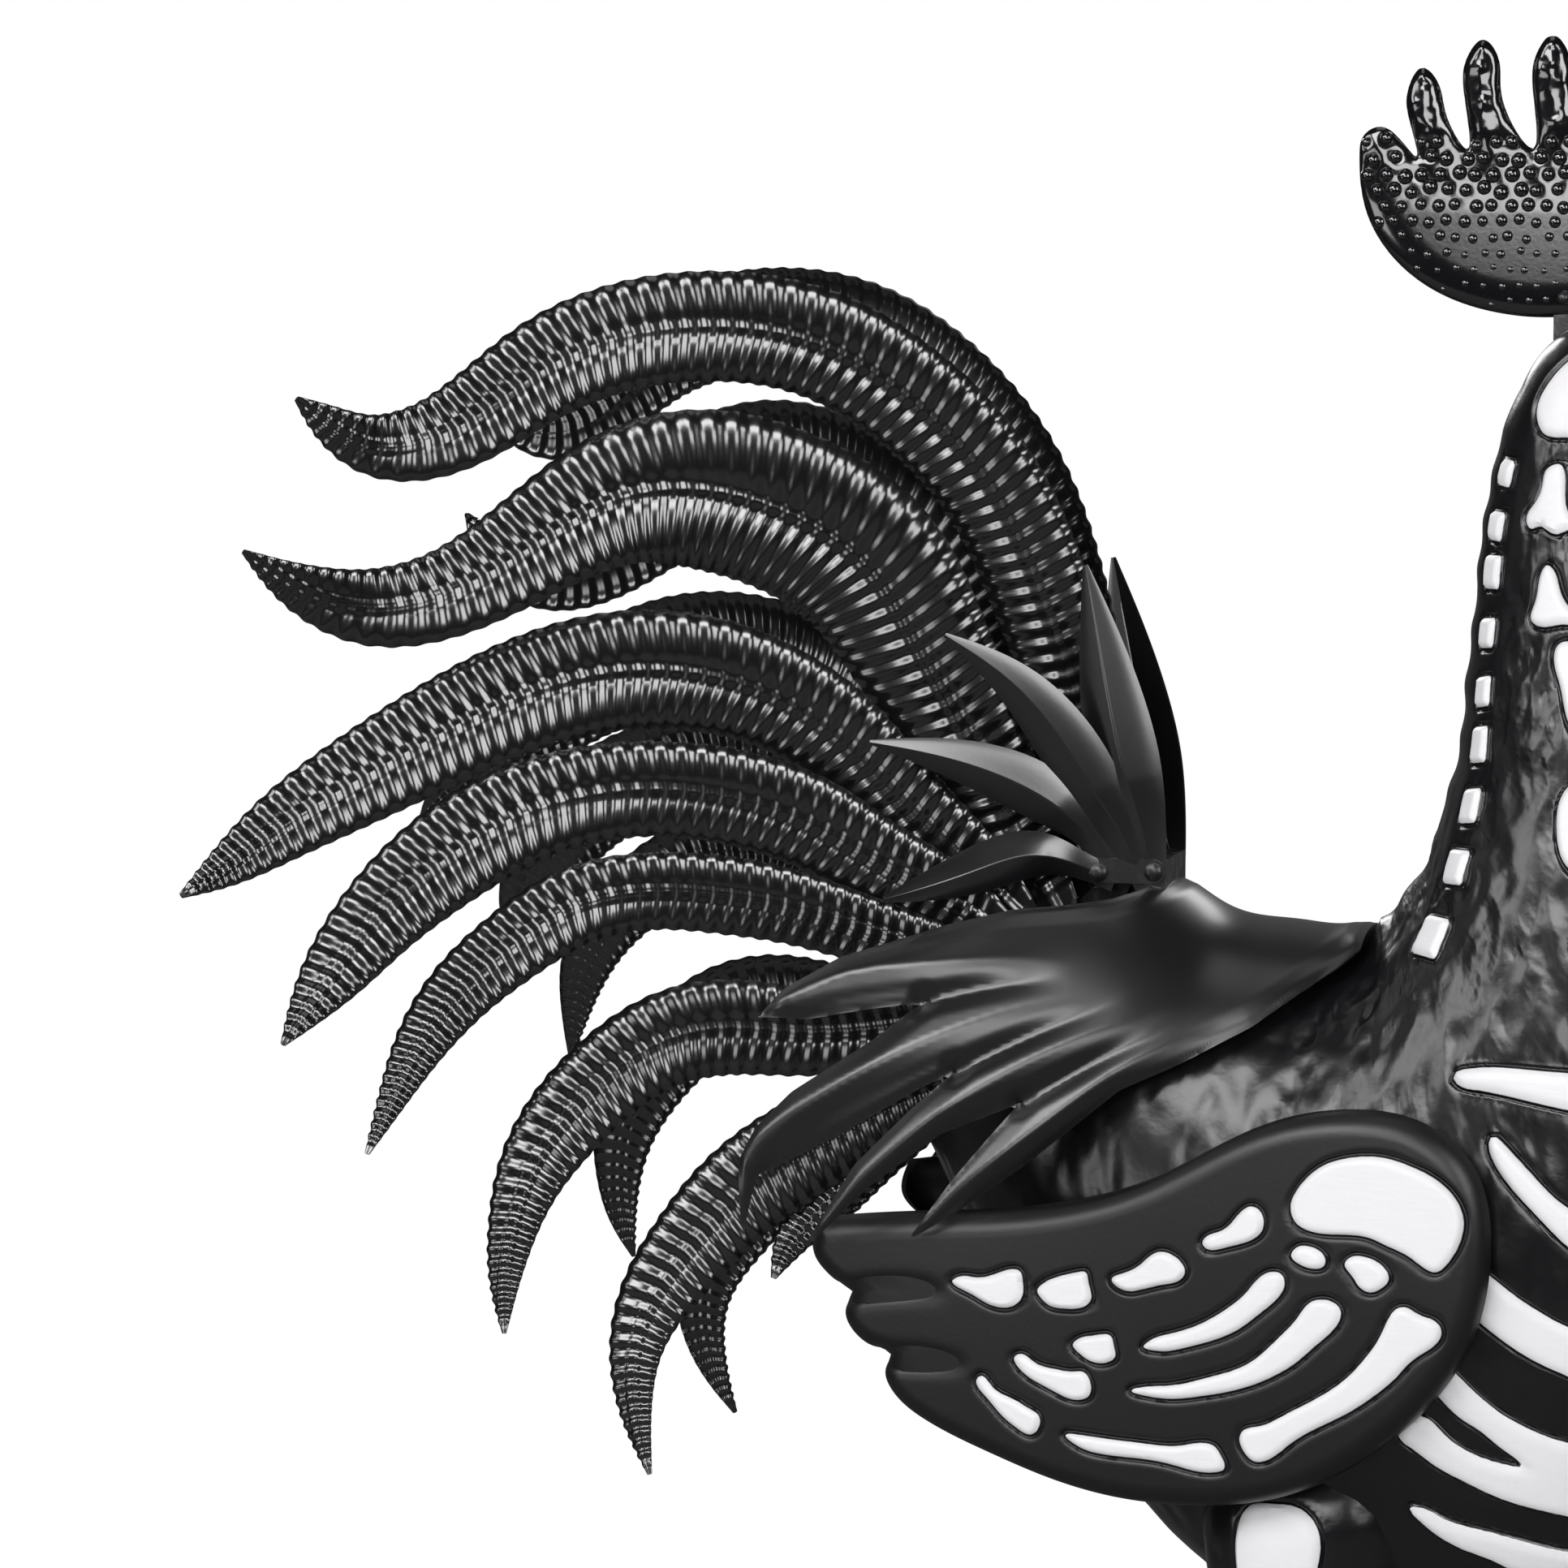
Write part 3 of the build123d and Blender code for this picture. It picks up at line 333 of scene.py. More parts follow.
def piece(name, stands_for, points, faces, finish, slot, bone=None, sharp=40, sheet=0.0,
          outwards=False):
    """Make one finished mesh that rides on the frame, as a sheet where it has a thickness."""
    mesh = bpy.data.meshes.new(name)
    faces = faces.tolist() if isinstance(faces, np.ndarray) else faces
    mesh.from_pydata(np.asarray(points).tolist(), [], faces)
    if bone is not None:
        set_field(mesh, "bone", bone / millimetre)
    mesh.materials.append(finishes[finish])
    mesh.validate()
    made = bpy.data.objects.new(name, mesh)
    bpy.context.scene.collection.objects.link(made)
    shape = bmesh.new()
    shape.from_mesh(mesh)
    bmesh.ops.remove_doubles(shape, verts=shape.verts, dist=weld_distance)
    if outwards:
        bmesh.ops.recalc_face_normals(shape, faces=shape.faces)
    shape.to_mesh(mesh)
    shape.free()
    if sheet:
        solid = made.modifiers.new("Sheet", "SOLIDIFY")
        solid.thickness = abs(sheet)
        solid.offset = -1 if sheet > 0 else 1
        graph = bpy.context.evaluated_depsgraph_get()
        made.data = bpy.data.meshes.new_from_object(made.evaluated_get(graph))
        made.modifiers.clear()
    made.data.shade_smooth()
    made.data.set_sharp_from_angle(angle=math.radians(sharp))
    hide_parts(*stands_for)
    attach(made, "root")
    return made


def pair(name, stands_for, points, faces, finish, slot, **settings):
    """Make the right-hand piece and its mirror image."""
    for side in (RIGHT, LEFT):
        ending = "_" + side_name(side)
        piece(name + ending, [node_name + ending for node_name in stands_for],
              *on_side(points, faces, side), finish, slot, **settings)


# Node trees


class Tree:
    """Adds and links the nodes of one tree."""

    def __init__(self, tree, inputs=(), outputs=()):
        self.tree = tree
        for way, rows in (("INPUT", inputs), ("OUTPUT", outputs)):
            for label, kind, *default in rows:
                socket = tree.interface.new_socket(
                    name=label, in_out=way, socket_type="NodeSocket" + kind)
                if default:
                    socket.default_value = default[0]
        if outputs:
            self.given = tree.nodes.new("NodeGroupInput").outputs
            self.result = tree.nodes.new("NodeGroupOutput").inputs

    def fill(self, socket, source):
        """Link a socket, or give it a plain value."""
        if hasattr(source, "is_output"):
            self.tree.links.new(source, socket)
        else:
            socket.default_value = source

    def add(self, kind, links=(), output=0, **settings):
        """Add a node, set what it holds, fill its inputs and return one of its outputs."""
        made = self.tree.nodes.new(kind)
        for name, value in settings.items():
            setattr(made, name, value)
        for socket, source in links:
            self.fill(made.inputs[socket], source)
        return made.outputs[output]

    def maths(self, operation, first, second=0.0):
        return self.add("ShaderNodeMath", ((0, first), (1, second)), operation=operation)

    def times(self, value, *factors):
        for factor in factors:
            value = self.maths("MULTIPLY", value, factor)
        return value

    def remap(self, value, low, high, to_low=0.0, to_high=1.0):
        """Smooth step of a value between two levels."""
        return self.add("ShaderNodeMapRange",
                        ((0, value), (1, low), (2, high), (3, to_low), (4, to_high)),
                        interpolation_type="SMOOTHSTEP")

    def mix(self, first, second, share):
        return self.add("ShaderNodeMix", ((6, first), (7, second), (0, share)), output=2,
                        data_type="RGBA")

    def place(self):
        return self.add("ShaderNodeTexCoord", output="Object")

    def noise(self, place, scale, detail, roughness=0.5):
        return self.add("ShaderNodeTexNoise", (("Vector", place), ("Scale", scale),
                                               ("Detail", detail), ("Roughness", roughness)))

    def bump(self, height):
        return self.add("ShaderNodeBump", (("Height", height), ("Distance", 1.0)))

    def group(self, name, **values):
        """Place a shader group with its own values and return its outputs."""
        used = self.tree.nodes.new("ShaderNodeGroup")
        used.node_tree = bpy.data.node_groups[name]
        for label, value in values.items():
            self.fill(used.inputs[label.replace("_", " ").capitalize()], value)
        return used.outputs

    def end(self, *sources):
        """Link the results of a group in their order."""
        for socket, source in zip(self.result, sources):
            self.fill(socket, source)
        return self.tree


def shader_group(name, inputs, outputs):
    """A shader group whose sockets are all numbers."""
    return Tree(bpy.data.node_groups.new(name, "ShaderNodeTree"),
                [(label, "Float", default) for label, default in inputs.items()],
                [(label, "Float") for label in outputs])


def shape_group(name, inputs, result):
    """A geometry group that takes a mesh and ends in one real, painted mesh."""
    return Tree(bpy.data.node_groups.new(name, "GeometryNodeTree"),
                [(label, kind) for label, kind in inputs.items()] + [("Paint", "Material")],
                [(result, "Geometry")])


def real_and_painted(tree, geometry, smooth=False):
    real = tree.add("GeometryNodeRealizeInstances", ((0, geometry),))
    if smooth:
        real = tree.add("GeometryNodeSetShadeSmooth", ((0, real),))
    return tree.end(tree.add("GeometryNodeSetMaterial",
                             (("Geometry", real), ("Material", tree.given["Paint"]))))


def run_tree(base, tree, **values):
    """Run a geometry tree on a mesh and return the points and faces of the result."""
    carrier = bpy.data.objects.new("Carrier", base)
    bpy.context.scene.collection.objects.link(carrier)
    modifier = carrier.modifiers.new("Tree", "NODES")
    modifier.node_group = tree
    for item in tree.interface.items_tree:
        label = item.name.lower().replace(" ", "_")
        if item.in_out == "INPUT" and label in values:
            modifier[item.identifier] = values[label]
    graph = bpy.context.evaluated_depsgraph_get()
    result = bpy.data.meshes.new_from_object(carrier.evaluated_get(graph))
    bpy.data.objects.remove(carrier)
    points = np.zeros(len(result.vertices) * 3)
    result.vertices.foreach_get("co", points)
    return points.reshape(-1, 3), [tuple(face.vertices) for face in result.polygons]


# Paints


def opaque(colour, factor=1.0, lift=0.0):
    return tuple(min(1.0, lift + factor * level) for level in colour) + (1.0,)


def paint_skin_group():
    """Sprayed paint: faint orange peel, a little dust and uneven gloss."""
    tree = shader_group(
        "Sprayed paint",
        {"Peel scale": 420.0, "Peel height": 0.00004, "Gloss": 0.3, "Gloss spread": 0.08,
         "Dust": 0.02},
        ("Roughness", "Height", "Dust"))
    place, given = tree.place(), tree.given
    peel, cloud = tree.noise(place, given["Peel scale"], 2.0), tree.noise(place, 9.0, 5.0)
    specks = tree.remap(tree.noise(place, 700.0, 1.0), 0.70, 0.80)
    spread = tree.times(tree.maths("SUBTRACT", cloud, 0.5), given["Gloss spread"])
    tree.end(tree.maths("ADD", given["Gloss"], spread), tree.times(peel, given["Peel height"]),
             tree.times(specks, given["Dust"]))


def bone_paint_group():
    """White brushed paint inside a bone, and the pressed line round it, from the bone distance."""
    tree = shader_group("Bone paint", {"Bone distance": -6.0, "Stroke scale": 60.0},
                        ("Mask", "Height", "Shade"))
    place, distance = tree.place(), tree.given["Bone distance"]
    stretched = tree.add("ShaderNodeMapping", (
        ("Vector", place), ("Rotation", (0.0, 0.5, 0.0)), ("Scale", (1.0, 4.0, 9.0))))
    strokes = tree.noise(stretched, tree.given["Stroke scale"], 6.0, 0.65)
    ragged = tree.noise(place, 260.0, 3.0)
    wander = tree.times(tree.maths("SUBTRACT", ragged, 0.5), 0.5)
    mask = tree.remap(tree.maths("ADD", distance, wander), -0.10, 0.30)
    away = tree.maths("ADD", distance, 1.2)
    groove = tree.times(tree.maths("EXPONENT", tree.times(away, away, -0.9)), -0.0009)
    tree.end(mask, tree.maths("ADD", groove, tree.times(strokes, mask, 0.00012)),
             tree.remap(strokes, 0.30, 0.62, 0.80, 1.0))


def edge_wear_group():
    """Paint worn thin along sharp edges."""
    tree = shader_group("Edge wear", {"Amount": 0.5, "Grain": 180.0}, ("Mask",))
    sharpness = tree.add("ShaderNodeNewGeometry", output="Pointiness")
    grain = tree.noise(tree.place(), tree.given["Grain"], 4.0)
    tree.end(tree.times(tree.remap(sharpness, 0.54, 0.64), tree.remap(grain, 0.45, 0.65),
                        tree.given["Amount"]))


def new_material(name):
    """A material, its tree and the inputs of its shader."""
    material = bpy.data.materials.new(name)
    material.use_nodes = True
    shader = material.node_tree.nodes["Principled BSDF"]
    return material, Tree(material.node_tree), shader.inputs


def painted(name, colour, gloss, gloss_spread=0.08, peel_scale=420.0, peel_height=0.00004,
            wear=0.25, dust=0.03, bones=False, coat=0.0):
    """A painted sheet-metal finish, with or without painted bones or a clear coat."""
    material, tree, shader = new_material(name)
    shader["Specular IOR Level"].default_value = 0.62 + 0.38 * coat
    shader["Coat Weight"].default_value = coat
    shader["Coat Roughness"].default_value = 0.7 * gloss
    skin = tree.group("Sprayed paint", gloss=gloss, gloss_spread=gloss_spread,
                      peel_scale=peel_scale, peel_height=peel_height, dust=dust)
    worn = tree.group("Edge wear", amount=wear)
    dusty = tree.mix(opaque(colour), (0.25, 0.24, 0.23, 1.0), skin["Dust"])
    base = tree.mix(dusty, opaque(colour, 3, 0.06), worn["Mask"])
    height, rough = skin["Height"], skin["Roughness"]
    if bones:
        distance = tree.add("ShaderNodeAttribute", output="Fac", attribute_name="bone")
        bone = tree.group("Bone paint", bone_distance=distance)
        white = bpy.context.scene.rooster_paints.bone
        white = tree.mix(opaque(white, 0.90), opaque(white), bone["Shade"])
        base = tree.mix(base, white, bone["Mask"])
        rough = tree.remap(bone["Mask"], 0.0, 1.0, rough, 0.42)
        height = tree.maths("ADD", height, bone["Height"])
    tree.fill(shader["Base Color"], base)
    tree.fill(shader["Roughness"], rough)
    tree.fill(shader["Normal"], tree.bump(height))
    return material


def plain_steel():
    """Rolled steel with fine grain and faint stains."""
    steel = bpy.context.scene.rooster_paints.steel
    material, tree, shader = new_material("Plain steel")
    shader["Metallic"].default_value = 1.0
    place = tree.place()
    grain = tree.add("ShaderNodeMapping", (("Vector", place), ("Scale", (1.0, 40.0, 1.0))))
    lines, stain = tree.noise(grain, 60.0, 4.0), tree.noise(place, 22.0, 6.0)
    tree.fill(shader["Base Color"], tree.mix(opaque(steel, 0.55), opaque(steel), stain))
    tree.fill(shader["Roughness"], tree.remap(lines, 0.3, 0.7, 0.28, 0.5))
    tree.fill(shader["Normal"], tree.bump(tree.times(lines, 0.00006)))
    return material


finishes = {}


class ROOSTER_OT_paints(bpy.types.Operator):
    """Mix the paints and finishes of the rooster."""
    bl_idname = "rooster.paints"
    bl_label = "Mix the paints"

    def execute(self, context):
        paints = context.scene.rooster_paints
        paint_skin_group()
        bone_paint_group()
        edge_wear_group()
        black, feather = tuple(paints.black), tuple(paints.feather)
        finishes.update({
            "body": painted("Hammered black with bones", black, 0.27, bones=True,
                            peel_scale=160.0, peel_height=0.00016),
            "wing": painted("Smooth black with bones", black, 0.42, bones=True,
                            peel_scale=300.0, peel_height=0.00008),
            "cape": painted("Satin black", black, 0.33, gloss_spread=0.05, coat=0.3,
                            peel_height=0.00002),
            "feather": painted("Feather black", feather, 0.22, gloss_spread=0.04, wear=0.30,
                               coat=0.8, peel_height=0.00001),
            "covert": painted("Plume black", black, 0.30, gloss_spread=0.10, coat=0.8),
            "comb": painted("Gloss black", black, 0.13, gloss_spread=0.04, wear=0.0, coat=0.6,
                            peel_height=0.00002),
            "leg": painted("Leg black", black, 0.28, peel_scale=250.0, peel_height=0.0001),
            "bolt": painted("Bolt black", black, 0.36, wear=0.8, peel_height=0.0001),
            "eye": painted("Eye white", tuple(paints.bone), 0.2, wear=0.0, dust=0.01),
            "steel": plain_steel()})
        return {"FINISHED"}


# Stage


look_at = Vector((-0.172, 0.0, 0.798))
camera_azimuth, camera_elevation = 16, 6
camera_distance, camera_lens, camera_sensor = 3.2, 129.6, 36.0
# Each lamp: azimuth and elevation in degrees, distance, width and height in metres, and power.
# Azimuth 0 is in front of the right side, 90 in front of the breast
lamp_rows = {
    "Key box": (-17, 37, 3.0, 1.60, 1.10, 46),
    "Left box": (-52, 28, 3.0, 0.90, 1.20, 18),
    "Front box": (6, 15, 3.6, 1.60, 1.10, 32),
    "Front strip": (50, 20, 3.0, 0.90, 1.50, 29),
    "Side box": (-38, -2, 3.0, 1.00, 0.70, 7),
    "Top box": (0, 88, 2.6, 1.10, 1.10, 3),
    "Rear box": (-150, 28, 3.0, 0.90, 1.30, 26),
    "Back strip": (165, 34, 3.0, 0.60, 1.40, 12),
}
lamp_aim = Vector((0.0, 0.0, 0.70))
floor_level, floor_corners = -0.0002, 96
fade_start, fade_end = 0.45, 1.25
# Glossy paint mirrors a dim studio, darkest behind the camera
mirrored_floor, mirrored_dark, mirrored_light, plain_light = 0.12, 0.01, 0.12, 0.10


def aimed(name, data, aim, azimuth, elevation, distance):
    """Place a lamp or a camera so that it looks at a point."""
    azimuth, elevation = math.radians(azimuth), math.radians(elevation)
    back = Vector((math.sin(azimuth) * math.cos(elevation),
                   -math.cos(azimuth) * math.cos(elevation), math.sin(elevation)))
    made = bpy.data.objects.new(name, data)
    made.location = aim + back * distance
    made.rotation_euler = (-back).to_track_quat("-Z", "Y").to_euler()
    bpy.context.scene.collection.objects.link(made)
    return made


class ROOSTER_OT_stage(bpy.types.Operator):
    """Set the pale floor, the soft lamps and the camera."""
    bl_idname = "rooster.stage"
    bl_label = "Set the stage"

    def execute(self, context):
        scene = context.scene
        self.floor(scene)
        for name, (azimuth, elevation, distance, width, height, power) in lamp_rows.items():
            lamp = bpy.data.lights.new(name, "AREA")
            lamp.shape, lamp.size, lamp.size_y, lamp.energy = "RECTANGLE", width, height, power
            aimed(name, lamp, lamp_aim, azimuth, elevation, distance)
        lens = bpy.data.cameras.new("Camera")
        lens.lens, lens.sensor_width = camera_lens, camera_sensor
        lens.clip_start, lens.clip_end = 0.1, 60.0
        scene.camera = aimed("Camera", lens, look_at, camera_azimuth, camera_elevation,
                             camera_distance)
        self.surroundings(scene)
        return {"FINISHED"}

    def floor(self, scene):
        rings = np.array([0.25, 0.5, 0.75, 1.0]) * scene.rooster_sizes.stage_radius
        points = [(0.0, 0.0, floor_level)] + [
            (ring * math.cos(turn), ring * math.sin(turn), floor_level)
            for ring in rings for turn in circle(floor_corners)]
        faces = [(0, 1 + i, 1 + (i + 1) % floor_corners) for i in range(floor_corners)]
        faces += (grid_faces(len(rings), floor_corners, closed=True)[:, ::-1] + 1).tolist()
        mesh = bpy.data.meshes.new("Floor")
        mesh.from_pydata(points, [], faces)
        floor = bpy.data.objects.new("Floor", mesh)
        scene.collection.objects.link(floor)
        material, tree, shader = new_material("Pale floor")
        shader["Roughness"].default_value = 0.7
        pale = scene.rooster_paints.floor
        glossy, seen = (tree.add("ShaderNodeLightPath", output=f"Is {ray} Ray")
                        for ray in ("Glossy", "Camera"))
        tree.fill(shader["Base Color"],
                  tree.mix(opaque(pale), opaque(pale, mirrored_floor), glossy))
        far = tree.add("ShaderNodeVectorMath", ((0, tree.place()),), output="Value",
                       operation="LENGTH")
        white = tree.add("ShaderNodeEmission", (("Color", (1, 1, 1, 1)), ("Strength", 1.0)))
        lit = tree.tree.nodes["Principled BSDF"].outputs[0]
        tree.fill(tree.tree.nodes["Material Output"].inputs["Surface"], tree.add(
            "ShaderNodeMixShader",
            ((0, tree.times(tree.remap(far, fade_start, fade_end), seen)), (1, lit), (2, white))))
        mesh.materials.append(material)

    def surroundings(self, scene):
        scene.world = bpy.data.worlds.new("Studio")
        scene.world.use_nodes = True
        tree = Tree(scene.world.node_tree)
        glossy, seen, through = (tree.add("ShaderNodeLightPath", output=f"Is {ray} Ray")
                                 for ray in ("Glossy", "Camera", "Transmission"))
        way = tree.add("ShaderNodeTexCoord", output="Generated")
        beyond = tree.add("ShaderNodeSeparateXYZ", ((0, way),), output=1)
        mirrored = tree.remap(beyond, 0.3, 0.95, mirrored_dark, mirrored_light)
        level = tree.add("ShaderNodeMix", ((0, glossy), (2, plain_light), (3, mirrored)),
                         data_type="FLOAT")
        background = tree.tree.nodes["Background"].inputs
        background["Color"].default_value = (1, 1, 1, 1)
        tree.fill(background["Strength"],
                  tree.maths("MAXIMUM", tree.maths("MAXIMUM", seen, through), level))
        scene.view_settings.view_transform = "Standard"


# Bones


# Bones of the right side of body, neck and head, in shares of the side view
body_bone_shares = {
    "skull": [(0.663, 0.916), (0.647, 0.916), (0.638, 0.918), (0.632, 0.924), (0.629, 0.931),
              (0.630, 0.940), (0.637, 0.951), (0.650, 0.964), (0.660, 0.971), (0.700, 0.984),
              (0.750, 0.978), (0.790, 0.962), (0.812, 0.945), (0.800, 0.925), (0.775, 0.905),
              (0.735, 0.892), (0.700, 0.900), (0.680, 0.913)],
    "neck_1": [(0.622, 0.856), (0.629, 0.867), (0.638, 0.881), (0.642, 0.893), (0.648, 0.896),
               (0.657, 0.897), (0.662, 0.890), (0.663, 0.876), (0.668, 0.862), (0.690, 0.858),
               (0.700, 0.852), (0.695, 0.845), (0.667, 0.850), (0.657, 0.847), (0.644, 0.850),
               (0.638, 0.852), (0.627, 0.850)],
    "neck_2": [(0.646, 0.825), (0.642, 0.822), (0.638, 0.812), (0.634, 0.796), (0.631, 0.785),
               (0.639, 0.781), (0.669, 0.783), (0.700, 0.776), (0.710, 0.781), (0.690, 0.789),
               (0.668, 0.798), (0.659, 0.812), (0.652, 0.823)],
    "neck_3": [(0.666, 0.771), (0.660, 0.768), (0.657, 0.759), (0.659, 0.751), (0.665, 0.739),
               (0.669, 0.728), (0.674, 0.716), (0.690, 0.702), (0.716, 0.694), (0.722, 0.708),
               (0.700, 0.722), (0.688, 0.745), (0.684, 0.768)],
    "neck_4": [(0.668, 0.640), (0.676, 0.668), (0.692, 0.676), (0.706, 0.660), (0.722, 0.630),
               (0.744, 0.612), (0.728, 0.600), (0.696, 0.606), (0.678, 0.616)],
    "collar_bone": [(0.690, 0.560), (0.720, 0.572), (0.780, 0.562), (0.850, 0.540), (0.905, 0.552),
                    (0.898, 0.528), (0.850, 0.512), (0.770, 0.530), (0.715, 0.540)],
    "rib_1": [(0.577, 0.461), (0.579, 0.466), (0.588, 0.469), (0.618, 0.472), (0.642, 0.472),
              (0.691, 0.471), (0.780, 0.468), (0.850, 0.475), (0.905, 0.492), (0.900, 0.474),
              (0.850, 0.448), (0.780, 0.438), (0.692, 0.445), (0.667, 0.448), (0.636, 0.452),
              (0.601, 0.455), (0.581, 0.458)],
    "rib_2": [(0.616, 0.418), (0.618, 0.423), (0.623, 0.424), (0.629, 0.421), (0.646, 0.409),
              (0.664, 0.396), (0.694, 0.377), (0.725, 0.368), (0.775, 0.362), (0.840, 0.372),
              (0.898, 0.400), (0.900, 0.380), (0.850, 0.344), (0.775, 0.328), (0.720, 0.338),
              (0.695, 0.349), (0.676, 0.362), (0.655, 0.377), (0.633, 0.394), (0.620, 0.408)],
    "rib_3": [(0.560, 0.352), (0.590, 0.343), (0.617, 0.328), (0.640, 0.315), (0.672, 0.300),
              (0.696, 0.291), (0.730, 0.284), (0.780, 0.280), (0.840, 0.290), (0.890, 0.318),
              (0.895, 0.292), (0.850, 0.256), (0.780, 0.238), (0.730, 0.244), (0.697, 0.254),
              (0.672, 0.262), (0.641, 0.275), (0.610, 0.292), (0.580, 0.312), (0.565, 0.330)],
    "rib_4": [(0.552, 0.272), (0.586, 0.255), (0.610, 0.238), (0.632, 0.225), (0.656, 0.215),
              (0.696, 0.204), (0.770, 0.202), (0.830, 0.218), (0.868, 0.245), (0.872, 0.220),
              (0.830, 0.184), (0.770, 0.166), (0.700, 0.168), (0.660, 0.180), (0.648, 0.189),
              (0.632, 0.198), (0.609, 0.212), (0.593, 0.219), (0.577, 0.230), (0.565, 0.240),
              (0.552, 0.256)],
    "rib_5": [(0.531, 0.203), (0.540, 0.216), (0.554, 0.220), (0.578, 0.206), (0.608, 0.192),
              (0.624, 0.188), (0.643, 0.185), (0.700, 0.180), (0.765, 0.165), (0.810, 0.172),
              (0.835, 0.190), (0.832, 0.166), (0.800, 0.138), (0.755, 0.136), (0.693, 0.146),
              (0.654, 0.153), (0.623, 0.161), (0.592, 0.172), (0.561, 0.185), (0.545, 0.194)],
    "rib_6": [(0.539, 0.149), (0.551, 0.149), (0.574, 0.141), (0.606, 0.134), (0.637, 0.128),
              (0.691, 0.117), (0.725, 0.118), (0.752, 0.124), (0.756, 0.106), (0.715, 0.090),
              (0.665, 0.094), (0.631, 0.103), (0.619, 0.108), (0.589, 0.117), (0.566, 0.127),
              (0.549, 0.138)],
    "keel": [(0.935, 0.470), (0.975, 0.480), (1.010, 0.400), (1.005, 0.280), (0.960, 0.180),
             (0.880, 0.090), (0.790, 0.045), (0.780, 0.068), (0.860, 0.120), (0.925, 0.200),
             (0.950, 0.300), (0.945, 0.400)],
}
# Backbone down the rear of the neck: place x, z, half height and half width in millimetres
vertebra_shares = [
    (0.5965, 0.8885, 7.4, 6.3), (0.5880, 0.8505, 8.0, 6.8), (0.5850, 0.8170, 9.2, 7.8),
    (0.5815, 0.7715, 8.2, 7.5), (0.5805, 0.7305, 8.4, 7.6), (0.5785, 0.6920, 10.0, 8.2),
    (0.5720, 0.6490, 9.7, 8.4), (0.5610, 0.6065, 9.7, 9.2), (0.5400, 0.5570, 11.5, 10.4),
]
bone_reach = 0.006
millimetre = 0.001


def bone_field(points, outlines):
    """Largest bone distance of flat points, in metres."""
    field = np.full(len(points), -bone_reach)
    for outline in outlines:
        field = np.maximum(field, inside_distance(points, outline, bone_reach))
    return field


def bone_relief(field, rise, groove):
    """Height of a pressed bone and of the line round it, from the bone distance."""
    plateau = rise * smooth_step(field, -0.0004, 0.0030)
    line = groove * np.exp(-((field + 0.0014) / 0.0013) ** 2)
    return plateau - line


# Body, neck and head


body_station_shares = [
    (0.223, 0.572, 0.000, 0.376, 0.570), (0.282, 0.550, 0.041, 0.316, 0.615),
    (0.350, 0.532, 0.123, 0.218, 0.730), (0.425, 0.528, 0.245, 0.098, 0.860),
    (0.468, 0.539, 0.357, 0.035, 0.940), (0.495, 0.562, 0.527, 0.000, 0.985),
    (0.512, 0.588, 0.709, 0.028, 1.000), (0.525, 0.609, 0.855, 0.103, 0.985),
    (0.536, 0.637, 0.956, 0.216, 0.940), (0.549, 0.667, 1.000, 0.351, 0.860),
    (0.558, 0.703, 0.982, 0.481, 0.750), (0.565, 0.746, 0.906, 0.609, 0.630),
    (0.575, 0.793, 0.840, 0.703, 0.520), (0.582, 0.847, 0.797, 0.785, 0.445),
    (0.593, 0.901, 0.777, 0.837, 0.400), (0.604, 0.945, 0.779, 0.847, 0.385),
    (0.634, 0.982, 0.784, 0.849, 0.380), (0.685, 1.000, 0.792, 0.850, 0.370),
    (0.744, 0.997, 0.804, 0.853, 0.340), (0.794, 0.978, 0.818, 0.858, 0.277),
    (0.825, 0.956, 0.832, 0.867, 0.185),
]
# The backbone's ridge down the rear of head and neck: place up the body, and how far it stands out
backbone_ridge_shares = [
    (0.528, 0.0), (0.538, 0.055), (0.548, 0.085), (0.562, 0.050), (0.590, 0.025), (0.640, 0.020),
    (0.700, 0.024), (0.760, 0.042), (0.800, 0.054), (0.880, 0.050), (0.920, 0.038),
    (0.950, 0.004), (1.0, 0.0),
]
body_rows, body_columns, inner_step = 421, 177, 4
shell_wall = 0.0024
# The dents run into upright folds
fold_stretch = (1.0, 1.0, 0.5)
vertebra_corner, vertebra_swell, vertebra_reach = 0.0022, 0.0016, 0.0085
socket_place, socket_radius = on_body((0.742, 0.934)), 0.021
ridge_reach, box_margin = 0.024, 0.0002
body_seed, thigh_seed, comb_lump_seed, comb_bump_seed = 7, 11, 3, 5


def body_surface(rows, columns):
    """Grid over the right half of body, neck and head, back to belly in each row."""
    shares = np.array(body_station_shares)
    back, front = on_body(shares[:, 0:2]), on_body(shares[:, 2:4])
    law = SmoothCurve(np.column_stack([back, front, shares[:, 4] * body_half_width]))

    def longest(steps):
        return np.maximum(np.linalg.norm(steps[:, 0:2], axis=1),
                          np.linalg.norm(steps[:, 2:4], axis=1)) + 0.4 * np.abs(steps[:, 4])

    law_rows = law.even(rows, longest)
    turn = np.linspace(0, math.pi, columns)
    middle = (law_rows[:, 0:2] + law_rows[:, 2:4]) / 2
    down = (law_rows[:, 2:4] - law_rows[:, 0:2]) / 2
    grid = np.zeros((rows, columns, 3))
    grid[..., 0] = middle[:, :1] - down[:, :1] * np.cos(turn)
    grid[..., 2] = middle[:, 1:] - down[:, 1:] * np.cos(turn)
    grid[..., 1] = -law_rows[:, 4:] * np.sin(turn)
    return grid


